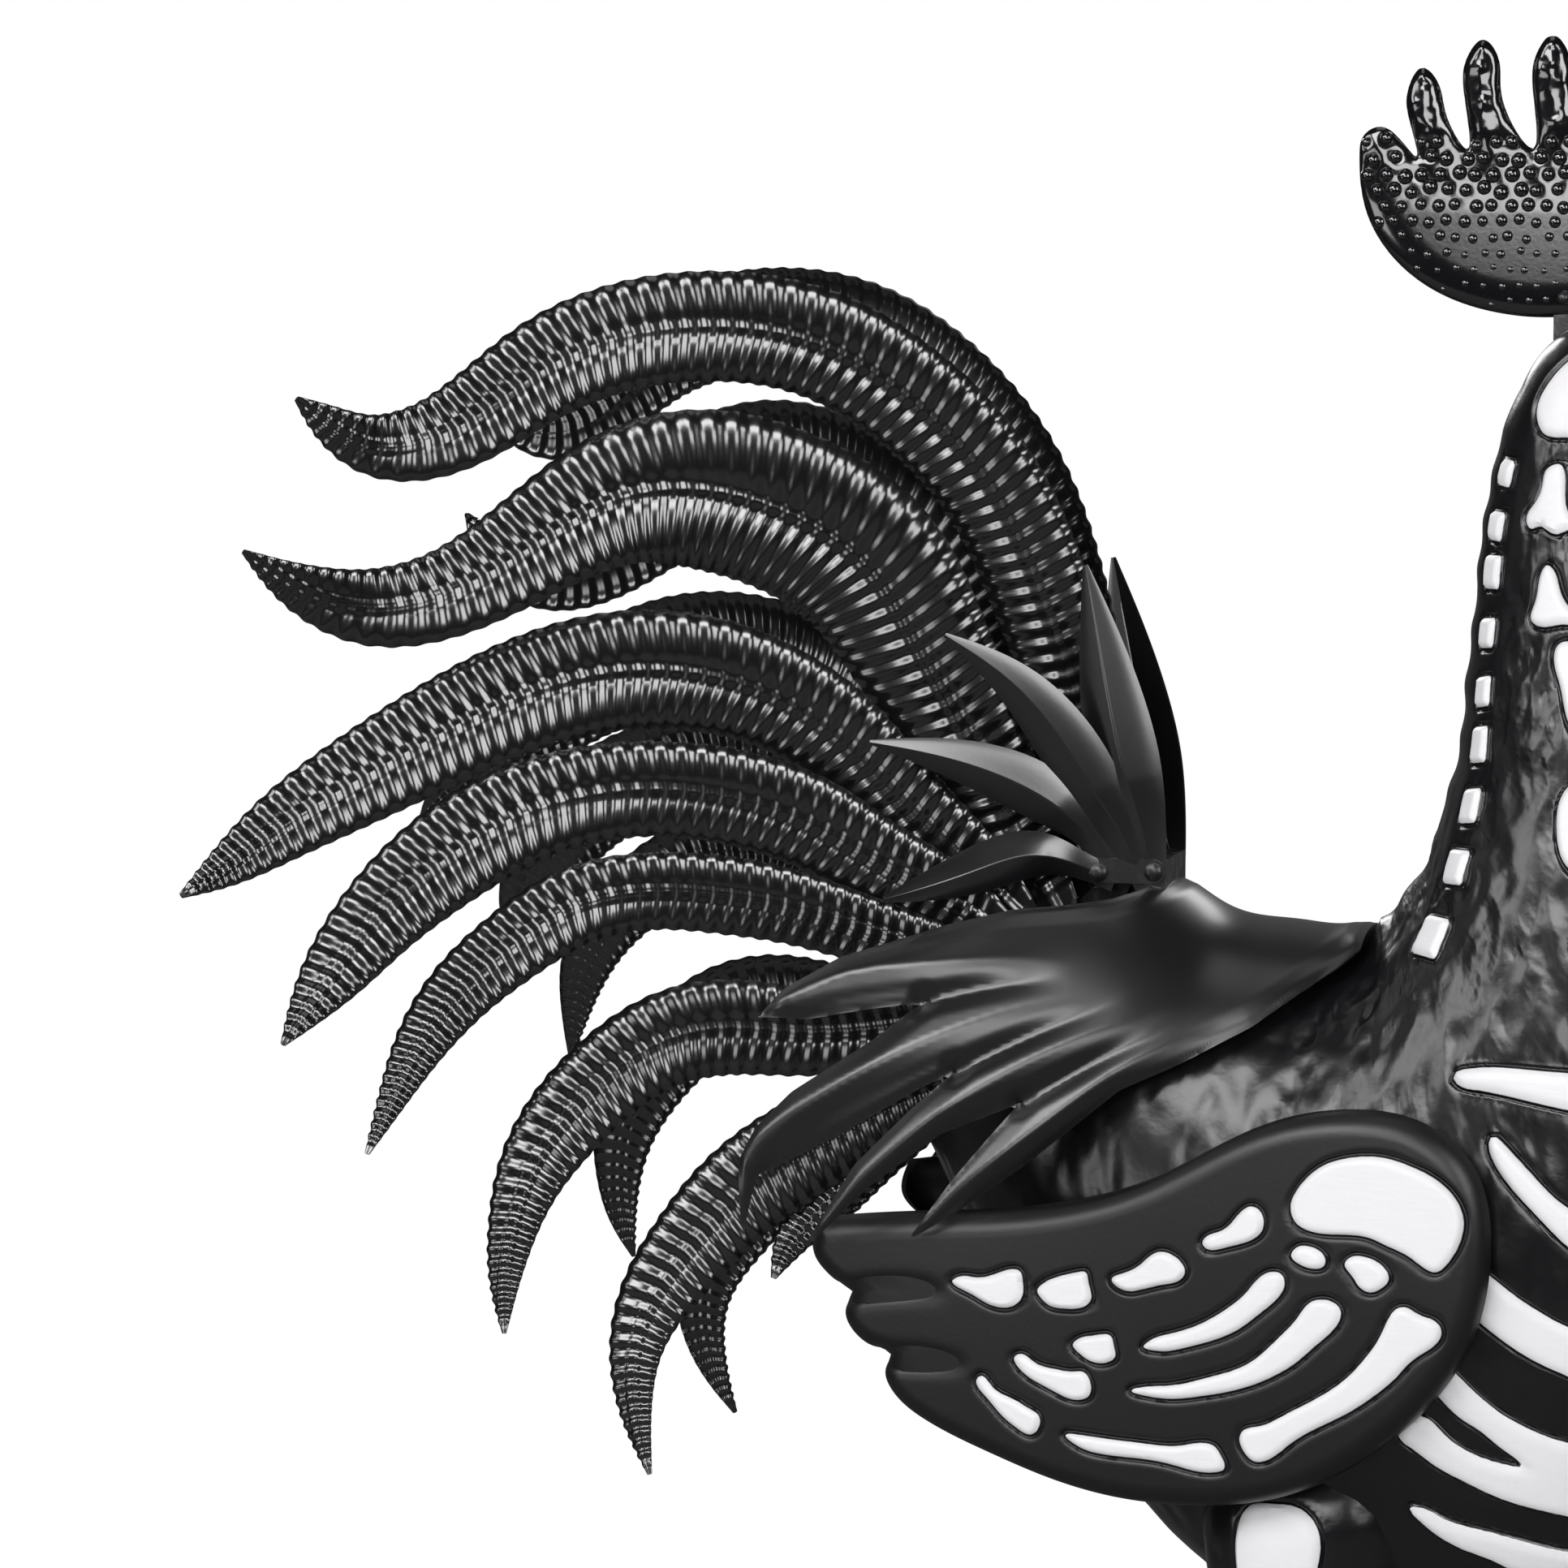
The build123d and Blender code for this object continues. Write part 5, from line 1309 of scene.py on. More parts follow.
wing_bone_shares = {
    "shoulder": [(0.727, 0.772), (0.735, 0.808), (0.751, 0.844), (0.774, 0.874), (0.806, 0.893),
                 (0.851, 0.899), (0.896, 0.879), (0.936, 0.844), (0.959, 0.802), (0.969, 0.754),
                 (0.966, 0.710), (0.950, 0.654), (0.933, 0.627), (0.899, 0.656), (0.859, 0.688),
                 (0.842, 0.700), (0.796, 0.706), (0.756, 0.710), (0.735, 0.729)],
    "spur": [(0.601, 0.665), (0.606, 0.681), (0.629, 0.699), (0.646, 0.727), (0.659, 0.753),
             (0.670, 0.763), (0.681, 0.757), (0.689, 0.714), (0.681, 0.690), (0.662, 0.672),
             (0.629, 0.654), (0.606, 0.653)],
    "small_knob": [(0.729, 0.648), (0.736, 0.669), (0.752, 0.675), (0.767, 0.667), (0.778, 0.646),
                   (0.776, 0.627), (0.759, 0.619), (0.740, 0.629)],
    "large_knob": [(0.805, 0.637), (0.814, 0.654), (0.831, 0.657), (0.852, 0.644), (0.865, 0.621),
                   (0.867, 0.602), (0.857, 0.581), (0.841, 0.569), (0.826, 0.581), (0.816, 0.606)],
    "long_upper": [(0.516, 0.397), (0.525, 0.414), (0.554, 0.435), (0.601, 0.467), (0.636, 0.506),
                   (0.665, 0.550), (0.685, 0.591), (0.701, 0.606), (0.716, 0.602), (0.721, 0.581),
                   (0.713, 0.546), (0.689, 0.506), (0.654, 0.457), (0.619, 0.427), (0.572, 0.400),
                   (0.529, 0.390)],
    "long_middle": [(0.497, 0.286), (0.518, 0.298), (0.554, 0.306), (0.613, 0.335), (0.672, 0.379),
                    (0.712, 0.444), (0.741, 0.502), (0.756, 0.536), (0.773, 0.546), (0.790, 0.541),
                    (0.801, 0.519), (0.797, 0.489), (0.770, 0.438), (0.738, 0.386), (0.696, 0.339),
                    (0.649, 0.306), (0.589, 0.281), (0.529, 0.273)],
    "long_lower": [(0.656, 0.189), (0.661, 0.207), (0.683, 0.221), (0.719, 0.252), (0.764, 0.298),
                   (0.810, 0.358), (0.835, 0.408), (0.856, 0.465), (0.869, 0.515), (0.879, 0.535),
                   (0.892, 0.539), (0.909, 0.523), (0.934, 0.507), (0.941, 0.486), (0.939, 0.465),
                   (0.926, 0.440), (0.901, 0.408), (0.879, 0.365), (0.856, 0.327), (0.811, 0.269),
                   (0.764, 0.223), (0.729, 0.182), (0.694, 0.136), (0.679, 0.131), (0.659, 0.165)],
    "blade": [(0.397, 0.156), (0.432, 0.161), (0.481, 0.157), (0.529, 0.154), (0.571, 0.158),
              (0.601, 0.169), (0.620, 0.163), (0.629, 0.143), (0.634, 0.106), (0.624, 0.098),
              (0.553, 0.108), (0.504, 0.115), (0.444, 0.119), (0.413, 0.135)],
    "upper_rear": [(0.224, 0.521), (0.235, 0.533), (0.264, 0.535), (0.290, 0.547), (0.315, 0.563),
                   (0.329, 0.561), (0.334, 0.539), (0.333, 0.496), (0.321, 0.473), (0.299, 0.464),
                   (0.276, 0.473), (0.252, 0.492)],
    "upper_middle": [(0.356, 0.514), (0.366, 0.536), (0.389, 0.556), (0.414, 0.569), (0.430, 0.571),
                     (0.434, 0.548), (0.438, 0.504), (0.425, 0.483), (0.399, 0.476), (0.375, 0.480),
                     (0.363, 0.495)],
    "upper_front": [(0.468, 0.558), (0.487, 0.578), (0.511, 0.602), (0.526, 0.626), (0.540, 0.637),
                    (0.555, 0.633), (0.571, 0.614), (0.577, 0.592), (0.571, 0.572), (0.547, 0.556),
                    (0.511, 0.538), (0.481, 0.537)],
    "lower_knob": [(0.410, 0.388), (0.421, 0.406), (0.445, 0.417), (0.467, 0.419), (0.473, 0.390),
                   (0.474, 0.365), (0.466, 0.353), (0.439, 0.349), (0.420, 0.367)],
    "lower_middle": [(0.321, 0.344), (0.330, 0.353), (0.353, 0.334), (0.384, 0.323), (0.408, 0.320),
                     (0.428, 0.321), (0.436, 0.302), (0.435, 0.263), (0.414, 0.249), (0.383, 0.264),
                     (0.352, 0.287), (0.330, 0.312)],
    "lower_rear": [(0.262, 0.278), (0.268, 0.288), (0.286, 0.264), (0.321, 0.235), (0.346, 0.214),
                   (0.357, 0.203), (0.355, 0.162), (0.344, 0.149), (0.326, 0.160), (0.301, 0.190),
                   (0.277, 0.233)],
}
wing_valley_shares = [
    [(0.042, 0.454), (0.120, 0.482), (0.230, 0.492)],
    [(0.102, 0.304), (0.180, 0.312), (0.260, 0.312)],
]
wing_heart_share = (0.52, 0.47)
wing_ring_shares = np.concatenate([np.linspace(0.02, 0.90, 74), np.linspace(0.90, 1.0, 22)[1:]])
wing_back_ring_shares = np.array([0.988, 0.975, 0.95, 0.91, 0.84, 0.70, 0.50, 0.25])
wing_reach, wing_fillet, wing_valley_depth, wing_valley_reach = 0.08, 0.013, 0.0075, 0.0055


def ring_fan(count, rows):
    """Faces of rings round one middle point, which is the first."""
    return [(0, 1 + (i + 1) % count, 1 + i) for i in range(count)] + (
        grid_faces(rows, count, closed=True) + 1).tolist()


class ROOSTER_OT_wings(bpy.types.Operator):
    """Build the domed wings with raised bones."""
    bl_idname = "rooster.wings"
    bl_label = "Build the wings"

    def execute(self, context):
        sizes = context.scene.rooster_sizes
        size = np.array([wing_length, wing_height])
        edge = np.concatenate([
            SmoothCurve(np.array(shares) * size).even(count)[:-1]
            for shares, count in ((wing_edge_shares, 521), (wing_middle_lobe_shares, 35),
                                  (wing_upper_lobe_shares, 35))])
        heart = np.array(wing_heart_share) * size
        spots = (heart + (edge - heart)[None] * wing_ring_shares[:, None, None]).reshape(-1, 2)
        depth = np.maximum(inside_distance(spots, edge, wing_reach), 0.0)
        outlines = [closed_curve(np.array(rows) * size, 7 * len(rows))
                    for rows in wing_bone_shares.values()]
        field = bone_field(spots, outlines)
        height = self.dome(spots, depth)
        for shares in wing_valley_shares:
            away, share = line_distance(spots, SmoothCurve(np.array(shares) * size).even(30))
            height -= wing_valley_depth * (1 - smooth_step(share, 0.35, 1.0)) * np.exp(
                -(away / wing_valley_reach) ** 2)
        height += bone_relief(field, sizes.bone_rise, sizes.groove_depth)
        height = np.maximum(height, 0.0)
        count = len(edge)
        middle = self.dome(heart[None], np.array([wing_reach]))
        back_spots, back_height = self.back_wall(edge, heart, sizes.sheet)
        heights = [middle, height, np.zeros(count), back_height, middle - sizes.sheet]
        spots = np.concatenate([heart[None], spots, edge, back_spots, heart[None]])
        field = np.concatenate([bone_field(heart[None], outlines), field, field[-count:],
                                np.full(len(back_spots) + 1, -bone_reach)])
        faces = self.faces(count, len(wing_ring_shares) + 1, len(wing_back_ring_shares))
        along = np.array([math.cos(wing_tilt), -math.sin(wing_tilt), 0.0])
        outward = np.array([-math.sin(wing_tilt), -math.cos(wing_tilt), 0.0])
        start = np.array([wing_rear[0], -wing_rear_out, wing_rear[1]])
        points = (start + along * spots[:, :1] + np.array([0, 0, 1.0]) * spots[:, 1:]
                  + outward * np.concatenate(heights)[:, None])
        pair("domed_wing", ("wing",), points, faces, "wing", "wing_paint", bone=field, sharp=60,
             outwards=True)
        return {"FINISHED"}

    def back_wall(self, edge, heart, sheet):
        """Coarse inner wall of the wing, from its rim to its middle."""
        rings = wing_back_ring_shares[:, None, None]
        spots = (heart + (edge[::inner_step] - heart)[None] * rings).reshape(-1, 2)
        depth = np.maximum(inside_distance(spots, edge, wing_reach) - sheet, 0.0)
        height = np.maximum(self.dome(spots, depth) - sheet, 0.0)
        height[:len(edge) // inner_step] = 0.0
        return spots, height

    def faces(self, count, rows, back_rows):
        """Faces of the front, of the rim and of the inner wall."""
        faces = ring_fan(count, rows)
        rim, back, coarse = 1 + (rows - 1) * count, 1 + rows * count, count // inner_step
        for place in range(coarse):
            outer = [rim + (place * inner_step + step) % count for step in range(inner_step + 1)]
            faces.append(outer[::-1] + [back + place, back + (place + 1) % coarse])
        faces += (grid_faces(back_rows, coarse, closed=True) + back).tolist()
        last, middle = back + (back_rows - 1) * coarse, back + back_rows * coarse
        return faces + [(middle, last + i, last + (i + 1) % coarse) for i in range(coarse)]

    def dome(self, spots, depth):
        """Height of the round dome and of the fillet at its edge."""
        radius = np.hypot(*(spots - np.array([wing_length, wing_height]) / 2).T)
        cap = wing_dome - wing_dome_radius + np.sqrt(wing_dome_radius ** 2 - radius ** 2)
        short = np.clip(wing_fillet - depth, 0, wing_fillet)
        return np.maximum(cap - wing_fillet + np.sqrt(wing_fillet ** 2 - short ** 2), 0.0)


# Comb


comb_length, comb_height = 0.225, 0.149
comb_start = on_body((0.444, 1.0)) + np.array([0.0, 0.003])
comb_half_depth, comb_bump_room, comb_shoulder = 0.007, 0.0015, 0.019
comb_shares = [
    (-0.014, 0.565), (-0.004, 0.640), (0.032, 0.672), (0.076, 0.640), (0.126, 0.560),
    (0.108, 0.690), (0.104, 0.810), (0.138, 0.885), (0.172, 0.840), (0.196, 0.715),
    (0.248, 0.588), (0.239, 0.790), (0.250, 0.935), (0.283, 0.985), (0.316, 0.935),
    (0.330, 0.780), (0.408, 0.592), (0.405, 0.800), (0.418, 0.950), (0.450, 1.000),
    (0.484, 0.950), (0.500, 0.800), (0.562, 0.600), (0.568, 0.800), (0.585, 0.945),
    (0.620, 0.990), (0.655, 0.940), (0.668, 0.775), (0.720, 0.575), (0.738, 0.745),
    (0.760, 0.865), (0.794, 0.900), (0.824, 0.845), (0.836, 0.690), (0.876, 0.532),
    (0.910, 0.640), (0.948, 0.680), (0.985, 0.640), (1.000, 0.540), (0.990, 0.370),
    (0.936, 0.198), (0.803, 0.052), (0.640, 0.000), (0.530, -0.012), (0.430, -0.018),
    (0.320, 0.000), (0.201, 0.056), (0.082, 0.180), (0.008, 0.350),
]
comb_step, comb_margin, comb_reach = 0.0013, 0.0004, 0.02
comb_outline_points = 420
pit_depth, pit_spread, lump_size, lump_rise = 0.0014, 1.2, 0.0075, 0.0005


def bump_tree():
    """Geometry nodes that set a low round bump on every point of a mesh."""
    tree = shape_group("Comb bumps", {"Spots": "Geometry", "Bump radius": "Float"}, "Bumps")
    radius = tree.given["Bump radius"]
    ball = tree.add("GeometryNodeMeshUVSphere", (("Segments", 14), ("Rings", 9),
                                                 ("Radius", radius)))
    height = tree.add("ShaderNodeSeparateXYZ",
                      ((0, tree.add("GeometryNodeInputPosition")),), output=1)
    hidden = tree.maths("GREATER_THAN", height, tree.times(radius, 0.4))
    cap = tree.add("GeometryNodeDeleteGeometry", (("Geometry", ball), ("Selection", hidden)))
    size = tree.add("GeometryNodeInputNamedAttribute", (("Name", "bump_size"),),
                    data_type="FLOAT")
    points = tree.add("GeometryNodeMeshToPoints", (("Mesh", tree.given["Spots"]),))
    return real_and_painted(tree, tree.add(
        "GeometryNodeInstanceOnPoints", (("Points", points), ("Instance", cap), ("Scale", size))),
        smooth=True)


class ROOSTER_OT_comb(bpy.types.Operator):
    """Build the bumpy comb."""
    bl_idname = "rooster.comb"
    bl_label = "Build the comb"

    def execute(self, context):
        sizes = context.scene.rooster_sizes
        size = np.array([comb_length, comb_height])
        outline = closed_curve(comb_start + np.array(comb_shares) * size, comb_outline_points)
        outline[:, 1] = np.minimum(outline[:, 1], cad_box[1][2] - comb_margin)
        low, high = outline.min(0) - 2 * comb_step, outline.max(0) + 2 * comb_step
        spans = [np.arange(start, stop, comb_step) for start, stop in zip(low, high)]
        table = np.stack(np.meshgrid(*spans, indexing="ij"), -1)
        flat = table.reshape(-1, 2)
        depth = inside_distance(flat, outline, comb_reach)
        height = self.cushion(np.maximum(depth, 0))
        seats, scales, room = self.bump_spots(sizes, outline)
        level = (flat[:, 1] - comb_start[1]) / comb_height
        pressed = smooth_step(level, 0.36, 0.50) * smooth_step(depth, 0.001, 0.004)
        pits = sum(np.exp(-(np.hypot(*(flat - seat).T) / (pit_spread * radius)) ** 2)
                   for seat, radius in zip(seats, scales * sizes.bump_radius))
        height = height - pit_depth * pressed * np.minimum(pits, 1.0)
        spread = np.column_stack([flat[:, 0], np.zeros(len(depth)), flat[:, 1]])
        lumps = hammered(spread, lump_size, -lump_rise, comb_lump_seed) * smooth_step(
            level, 0.58, 0.70)
        height = height + lumps * smooth_step(depth, 0.0, 0.004)
        grid = np.column_stack([flat[:, 0], -height, flat[:, 1]]).reshape(*table.shape[:2], 3)
        points, faces = trimmed(grid, depth.reshape(table.shape[:2]))
        back = points * np.array([1.0, 0.0, 1.0]), [face[::-1] for face in faces]
        pair("bumpy_comb", ("comb",),
             *joined([(points, faces), back, self.bumps(sizes, seats, scales, room)]), "comb",
             "comb_paint", sharp=80, outwards=True)
        return {"FINISHED"}

    def cushion(self, depth):
        """Height of the comb's rounded face over the middle plane."""
        short = np.clip(1 - depth / comb_shoulder, 0, 1)
        return (comb_half_depth - comb_bump_room) * np.sqrt(1 - short ** 2)

    def bump_spots(self, sizes, outline):
        """Places of the bumps, their sizes and how deep inside the outline they are."""
        chance = np.random.default_rng(comb_bump_seed)
        pitch = 2.1 * sizes.bump_radius
        spots, scales = [], []
        for row in range(40):
            for column in range(60):
                x = outline[:, 0].min() + (column + 0.5 * (row % 2)) * pitch
                z = outline[:, 1].min() + row * pitch * 0.87
                spots.append((x + chance.normal(0, 0.0008), z + chance.normal(0, 0.0008)))
                scales.append(chance.uniform(0.80, 1.0))
        spots, scales = np.array(spots), np.array(scales)
        depth = inside_distance(spots, outline, comb_reach)
        share = (spots[:, 1] - comb_start[1]) / comb_height
        scales = scales * (0.66 + 0.34 * smooth_step(share, 0.10, 0.45))
        scales = np.minimum(scales, (depth - 0.0006) / sizes.bump_radius)
        keep = (scales > 0.35) & (share < 0.64)
        return spots[keep], scales[keep], depth[keep]

    def bumps(self, sizes, spots, scales, depth):
        """Points and faces of all bumps, each sunk into the comb's face."""
        share = (spots[:, 1] - comb_start[1]) / comb_height
        buried = 0.80 - 0.34 * smooth_step(share, 0.05, 0.40)
        sink = self.cushion(depth) - scales * sizes.bump_radius * buried
        mesh = bpy.data.meshes.new("Spots")
        mesh.from_pydata(np.column_stack([spots[:, 0], -sink, spots[:, 1]]).tolist(), [], [])
        set_field(mesh, "bump_size", scales)
        return run_tree(mesh, bump_tree(), bump_radius=sizes.bump_radius, paint=finishes["comb"])


# Thighs, shanks and feet


leg_x, leg_plate_z = on_body((0.398, 0.148))
leg_spread = 0.076
thigh_length, thigh_depth = 0.122, 0.092
thigh_top_z, thigh_low_z = on_body((0, 0.190))[1], on_body((0, -0.100))[1]
thigh_station_shares = [
    (0.00, 0.00, 0.27, 0.35), (0.17, 0.04, 0.46, 0.52), (0.40, 0.11, 0.72, 0.76),
    (0.64, 0.13, 0.92, 0.95), (0.80, 0.15, 0.98, 0.98), (0.93, 0.19, 0.78, 0.72),
    (1.00, 0.20, 0.36, 0.30),
]
femur_shares = [
    (0.366, 0.098), (0.368, 0.128), (0.382, 0.144), (0.402, 0.146), (0.431, 0.145),
    (0.449, 0.134), (0.452, 0.104), (0.440, 0.078), (0.424, 0.050), (0.414, 0.012),
    (0.412, -0.022), (0.422, -0.042), (0.418, -0.062), (0.402, -0.068), (0.388, -0.060),
    (0.384, -0.042), (0.390, -0.022), (0.390, 0.012), (0.384, 0.046), (0.372, 0.072),
]
thigh_rows, thigh_columns, shank_rows, shank_columns = 92, 100, 260, 40
scute_pitch, scute_height = 0.0115, 0.0011
shank_radius, shank_limit, knee_swell = 0.0098, 0.0112, 0.0012
toe_rows = [(0, 0.128), (38, 0.112), (-38, 0.112), (180, 0.108)]
ankle_rings = np.array([(0.0, 0.0165), (0.002, 0.018), (0.020, 0.0178), (0.026, 0.0165),
                        (0.0295, 0.014), (0.030, 0.0125), (0.030, 0.0113)])
toe_tops = [(0.0, 0.0216), (0.22, 0.0186), (0.45, 0.0125), (0.62, 0.0150), (0.80, 0.0102),
            (0.84, 0.0112), (0.92, 0.0080), (1.0, 0.0012)]
toe_halves = np.array([(0.0, 0.0100), (0.22, 0.0088), (0.45, 0.0074), (0.62, 0.0086),
                       (0.80, 0.0068), (0.83, 0.0052), (1.0, 0.0010)])


class ROOSTER_OT_legs(bpy.types.Operator):
    """Build thighs, scaled shanks and clawed feet."""
    bl_idname = "rooster.legs"
    bl_label = "Build the legs"

    def execute(self, context):
        for side in (RIGHT, LEFT):
            self.thigh(context.scene.rooster_sizes, side)
            self.shank(side)
            self.foot(side)
        return {"FINISHED"}

    def thigh(self, sizes, side):
        shares = np.array(thigh_station_shares)
        rows = SmoothCurve(np.column_stack([
            thigh_low_z + shares[:, 0] * (thigh_top_z - thigh_low_z),
            leg_x + shares[:, 1] * thigh_length, shares[:, 2] * thigh_length / 2,
            shares[:, 3] * thigh_depth / 2])).even(thigh_rows)
        turn = circle(thigh_columns)
        grid = np.zeros((thigh_rows, thigh_columns, 3))
        grid[..., 0] = rows[:, 1:2] + rows[:, 2:3] * np.cos(turn)
        grid[..., 1] = -leg_spread + rows[:, 3:4] * np.sin(turn)
        grid[..., 2] = rows[:, :1]
        normals = grid_normals(grid, closed=True)
        if normals[42, 75, 1] > 0:
            normals = -normals
        flat, outward = grid.reshape(-1, 3), normals.reshape(-1, 3)
        field = bone_field(flat[:, [0, 2]], [closed_curve(on_body(femur_shares), 100)])
        field = np.where(outward[:, 1] < 0.25, field, -bone_reach)
        relief = bone_relief(field, sizes.bone_rise, sizes.groove_depth)
        relief += hammered(flat, sizes.dent_size, sizes.dent_depth, thigh_seed) * smooth_step(
            -field, -0.001, 0.004)
        flat = flat + outward * relief[:, None]
        faces = grid_faces(thigh_rows, thigh_columns, closed=True).tolist()
        name = "thigh_" + side_name(side)
        piece("hammered_" + name, (name,), *on_side(flat, faces, side), "body", "leg_paint",
              bone=field, sheet=sizes.sheet, outwards=True)

    def shank(self, side):
        name = "shank_" + side_name(side)
        low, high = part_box("shank_" + side_name(side))
        centre = (low + high) / 2
        z = np.linspace(low.z, high.z, shank_rows)
        share = (z - low.z) / (thigh_low_z - low.z)
        turn = circle(shank_columns)
        scute = np.abs(((z - low.z) / scute_pitch) % 1.0 - 0.5) * 2
        ripple = scute_height * (1 - scute ** 3) * (1 - smooth_step(share, 0.86, 1.0))
        front = 0.5 + 0.5 * np.cos(turn)
        radius = shank_radius + ripple[:, None] * (0.25 + 0.75 * front[None])
        knee = knee_swell * np.exp(-((share - 0.97) / 0.05) ** 2)
        radius = np.minimum(radius + knee[:, None], shank_limit)
        grid = np.stack([centre.x + radius * np.cos(turn), centre.y + radius * np.sin(turn),
                         np.repeat(z[:, None], shank_columns, 1)], -1)
        piece("scaled_" + name, (name,), *tube(grid), "leg", "leg_paint", outwards=True)

    def foot(self, side):
        ankle = np.array([leg_x, side * leg_spread])
        parts = [tube(self.toe(ankle, math.radians(turn), reach)) for turn, reach in toe_rows]
        heights, radii = ankle_rings[:, :1], ankle_rings[:, 1:]
        around = circle(48)
        parts.append(tube(np.stack([ankle[0] + radii * np.cos(around),
                                    ankle[1] + radii * np.sin(around),
                                    np.repeat(heights, 48, 1)], -1)))
        name = "foot_" + side_name(side)
        piece("clawed_" + name, (name,), *joined(parts), "leg", "leg_paint", sharp=50,
              outwards=True)

    def toe(self, ankle, turn, reach):
        """A rounded toe with soft joints and a claw, flat where it rests."""
        share = np.concatenate([np.linspace(0, 0.8, 60), np.linspace(0.8, 1.0, 24)[1:]])
        top = np.interp(share, *SmoothCurve(toe_tops).even(200).T)
        half = np.interp(share, *toe_halves.T)
        folds = 0.0007 * np.abs(np.sin(share * reach / 0.0075 * math.pi)) ** 3
        top = top + folds * (share < 0.8)
        around = circle(28)
        side = np.sign(np.cos(around)) * np.abs(np.cos(around)) ** 0.8
        rise = np.clip(0.5 + 0.62 * np.sin(around), 0, 1.0)
        rise = np.where(rise >= 1, 1 - 0.02 * (1 - np.sin(around)), rise)
        ahead = np.array([math.cos(turn), math.sin(turn)])
        across = np.array([-ahead[1], ahead[0]])
        ground = (ankle + ahead * (share * reach)[:, None])[:, None] + across * (
            half[:, None] * side[None])[..., None]
        return np.concatenate([ground, (top[:, None] * rise[None])[..., None]], -1)


# Beak, wattles, eyes


beak_length = 0.0936
beak_station_shares = [
    (0.36, 0.36, -0.42, 0.80), (0.70, 0.13, -0.38, 0.48), (0.92, -0.12, -0.34, 0.22),
    (1.00, -0.28, -0.38, 0.09)]
gape_share = -0.16
wattle_length, wattle_width, wattle_out = 0.092, 0.044, 0.009
wattle_shares = [(0.0, 0.0), (-0.30, -0.30), (-0.50, -0.66), (-0.18, -0.98), (0.26, -0.94),
                 (0.50, -0.62), (0.30, -0.26)]
beak_rows, beak_columns, gape_half, lower_beak_share = 70, 72, 0.0006, 0.82
# Rings of an eye: how far out from its base, and radius
eye_rings = np.array([(-0.0016, 0.0130), (-0.0004, 0.0122), (0.0, 0.0105), (0.0, 0.0078),
                      (0.0009, 0.0074), (0.0015, 0.0060), (0.0019, 0.0035), (0.0020, 0.0001)])
eye_height, iris_radius = 0.002, 0.0077


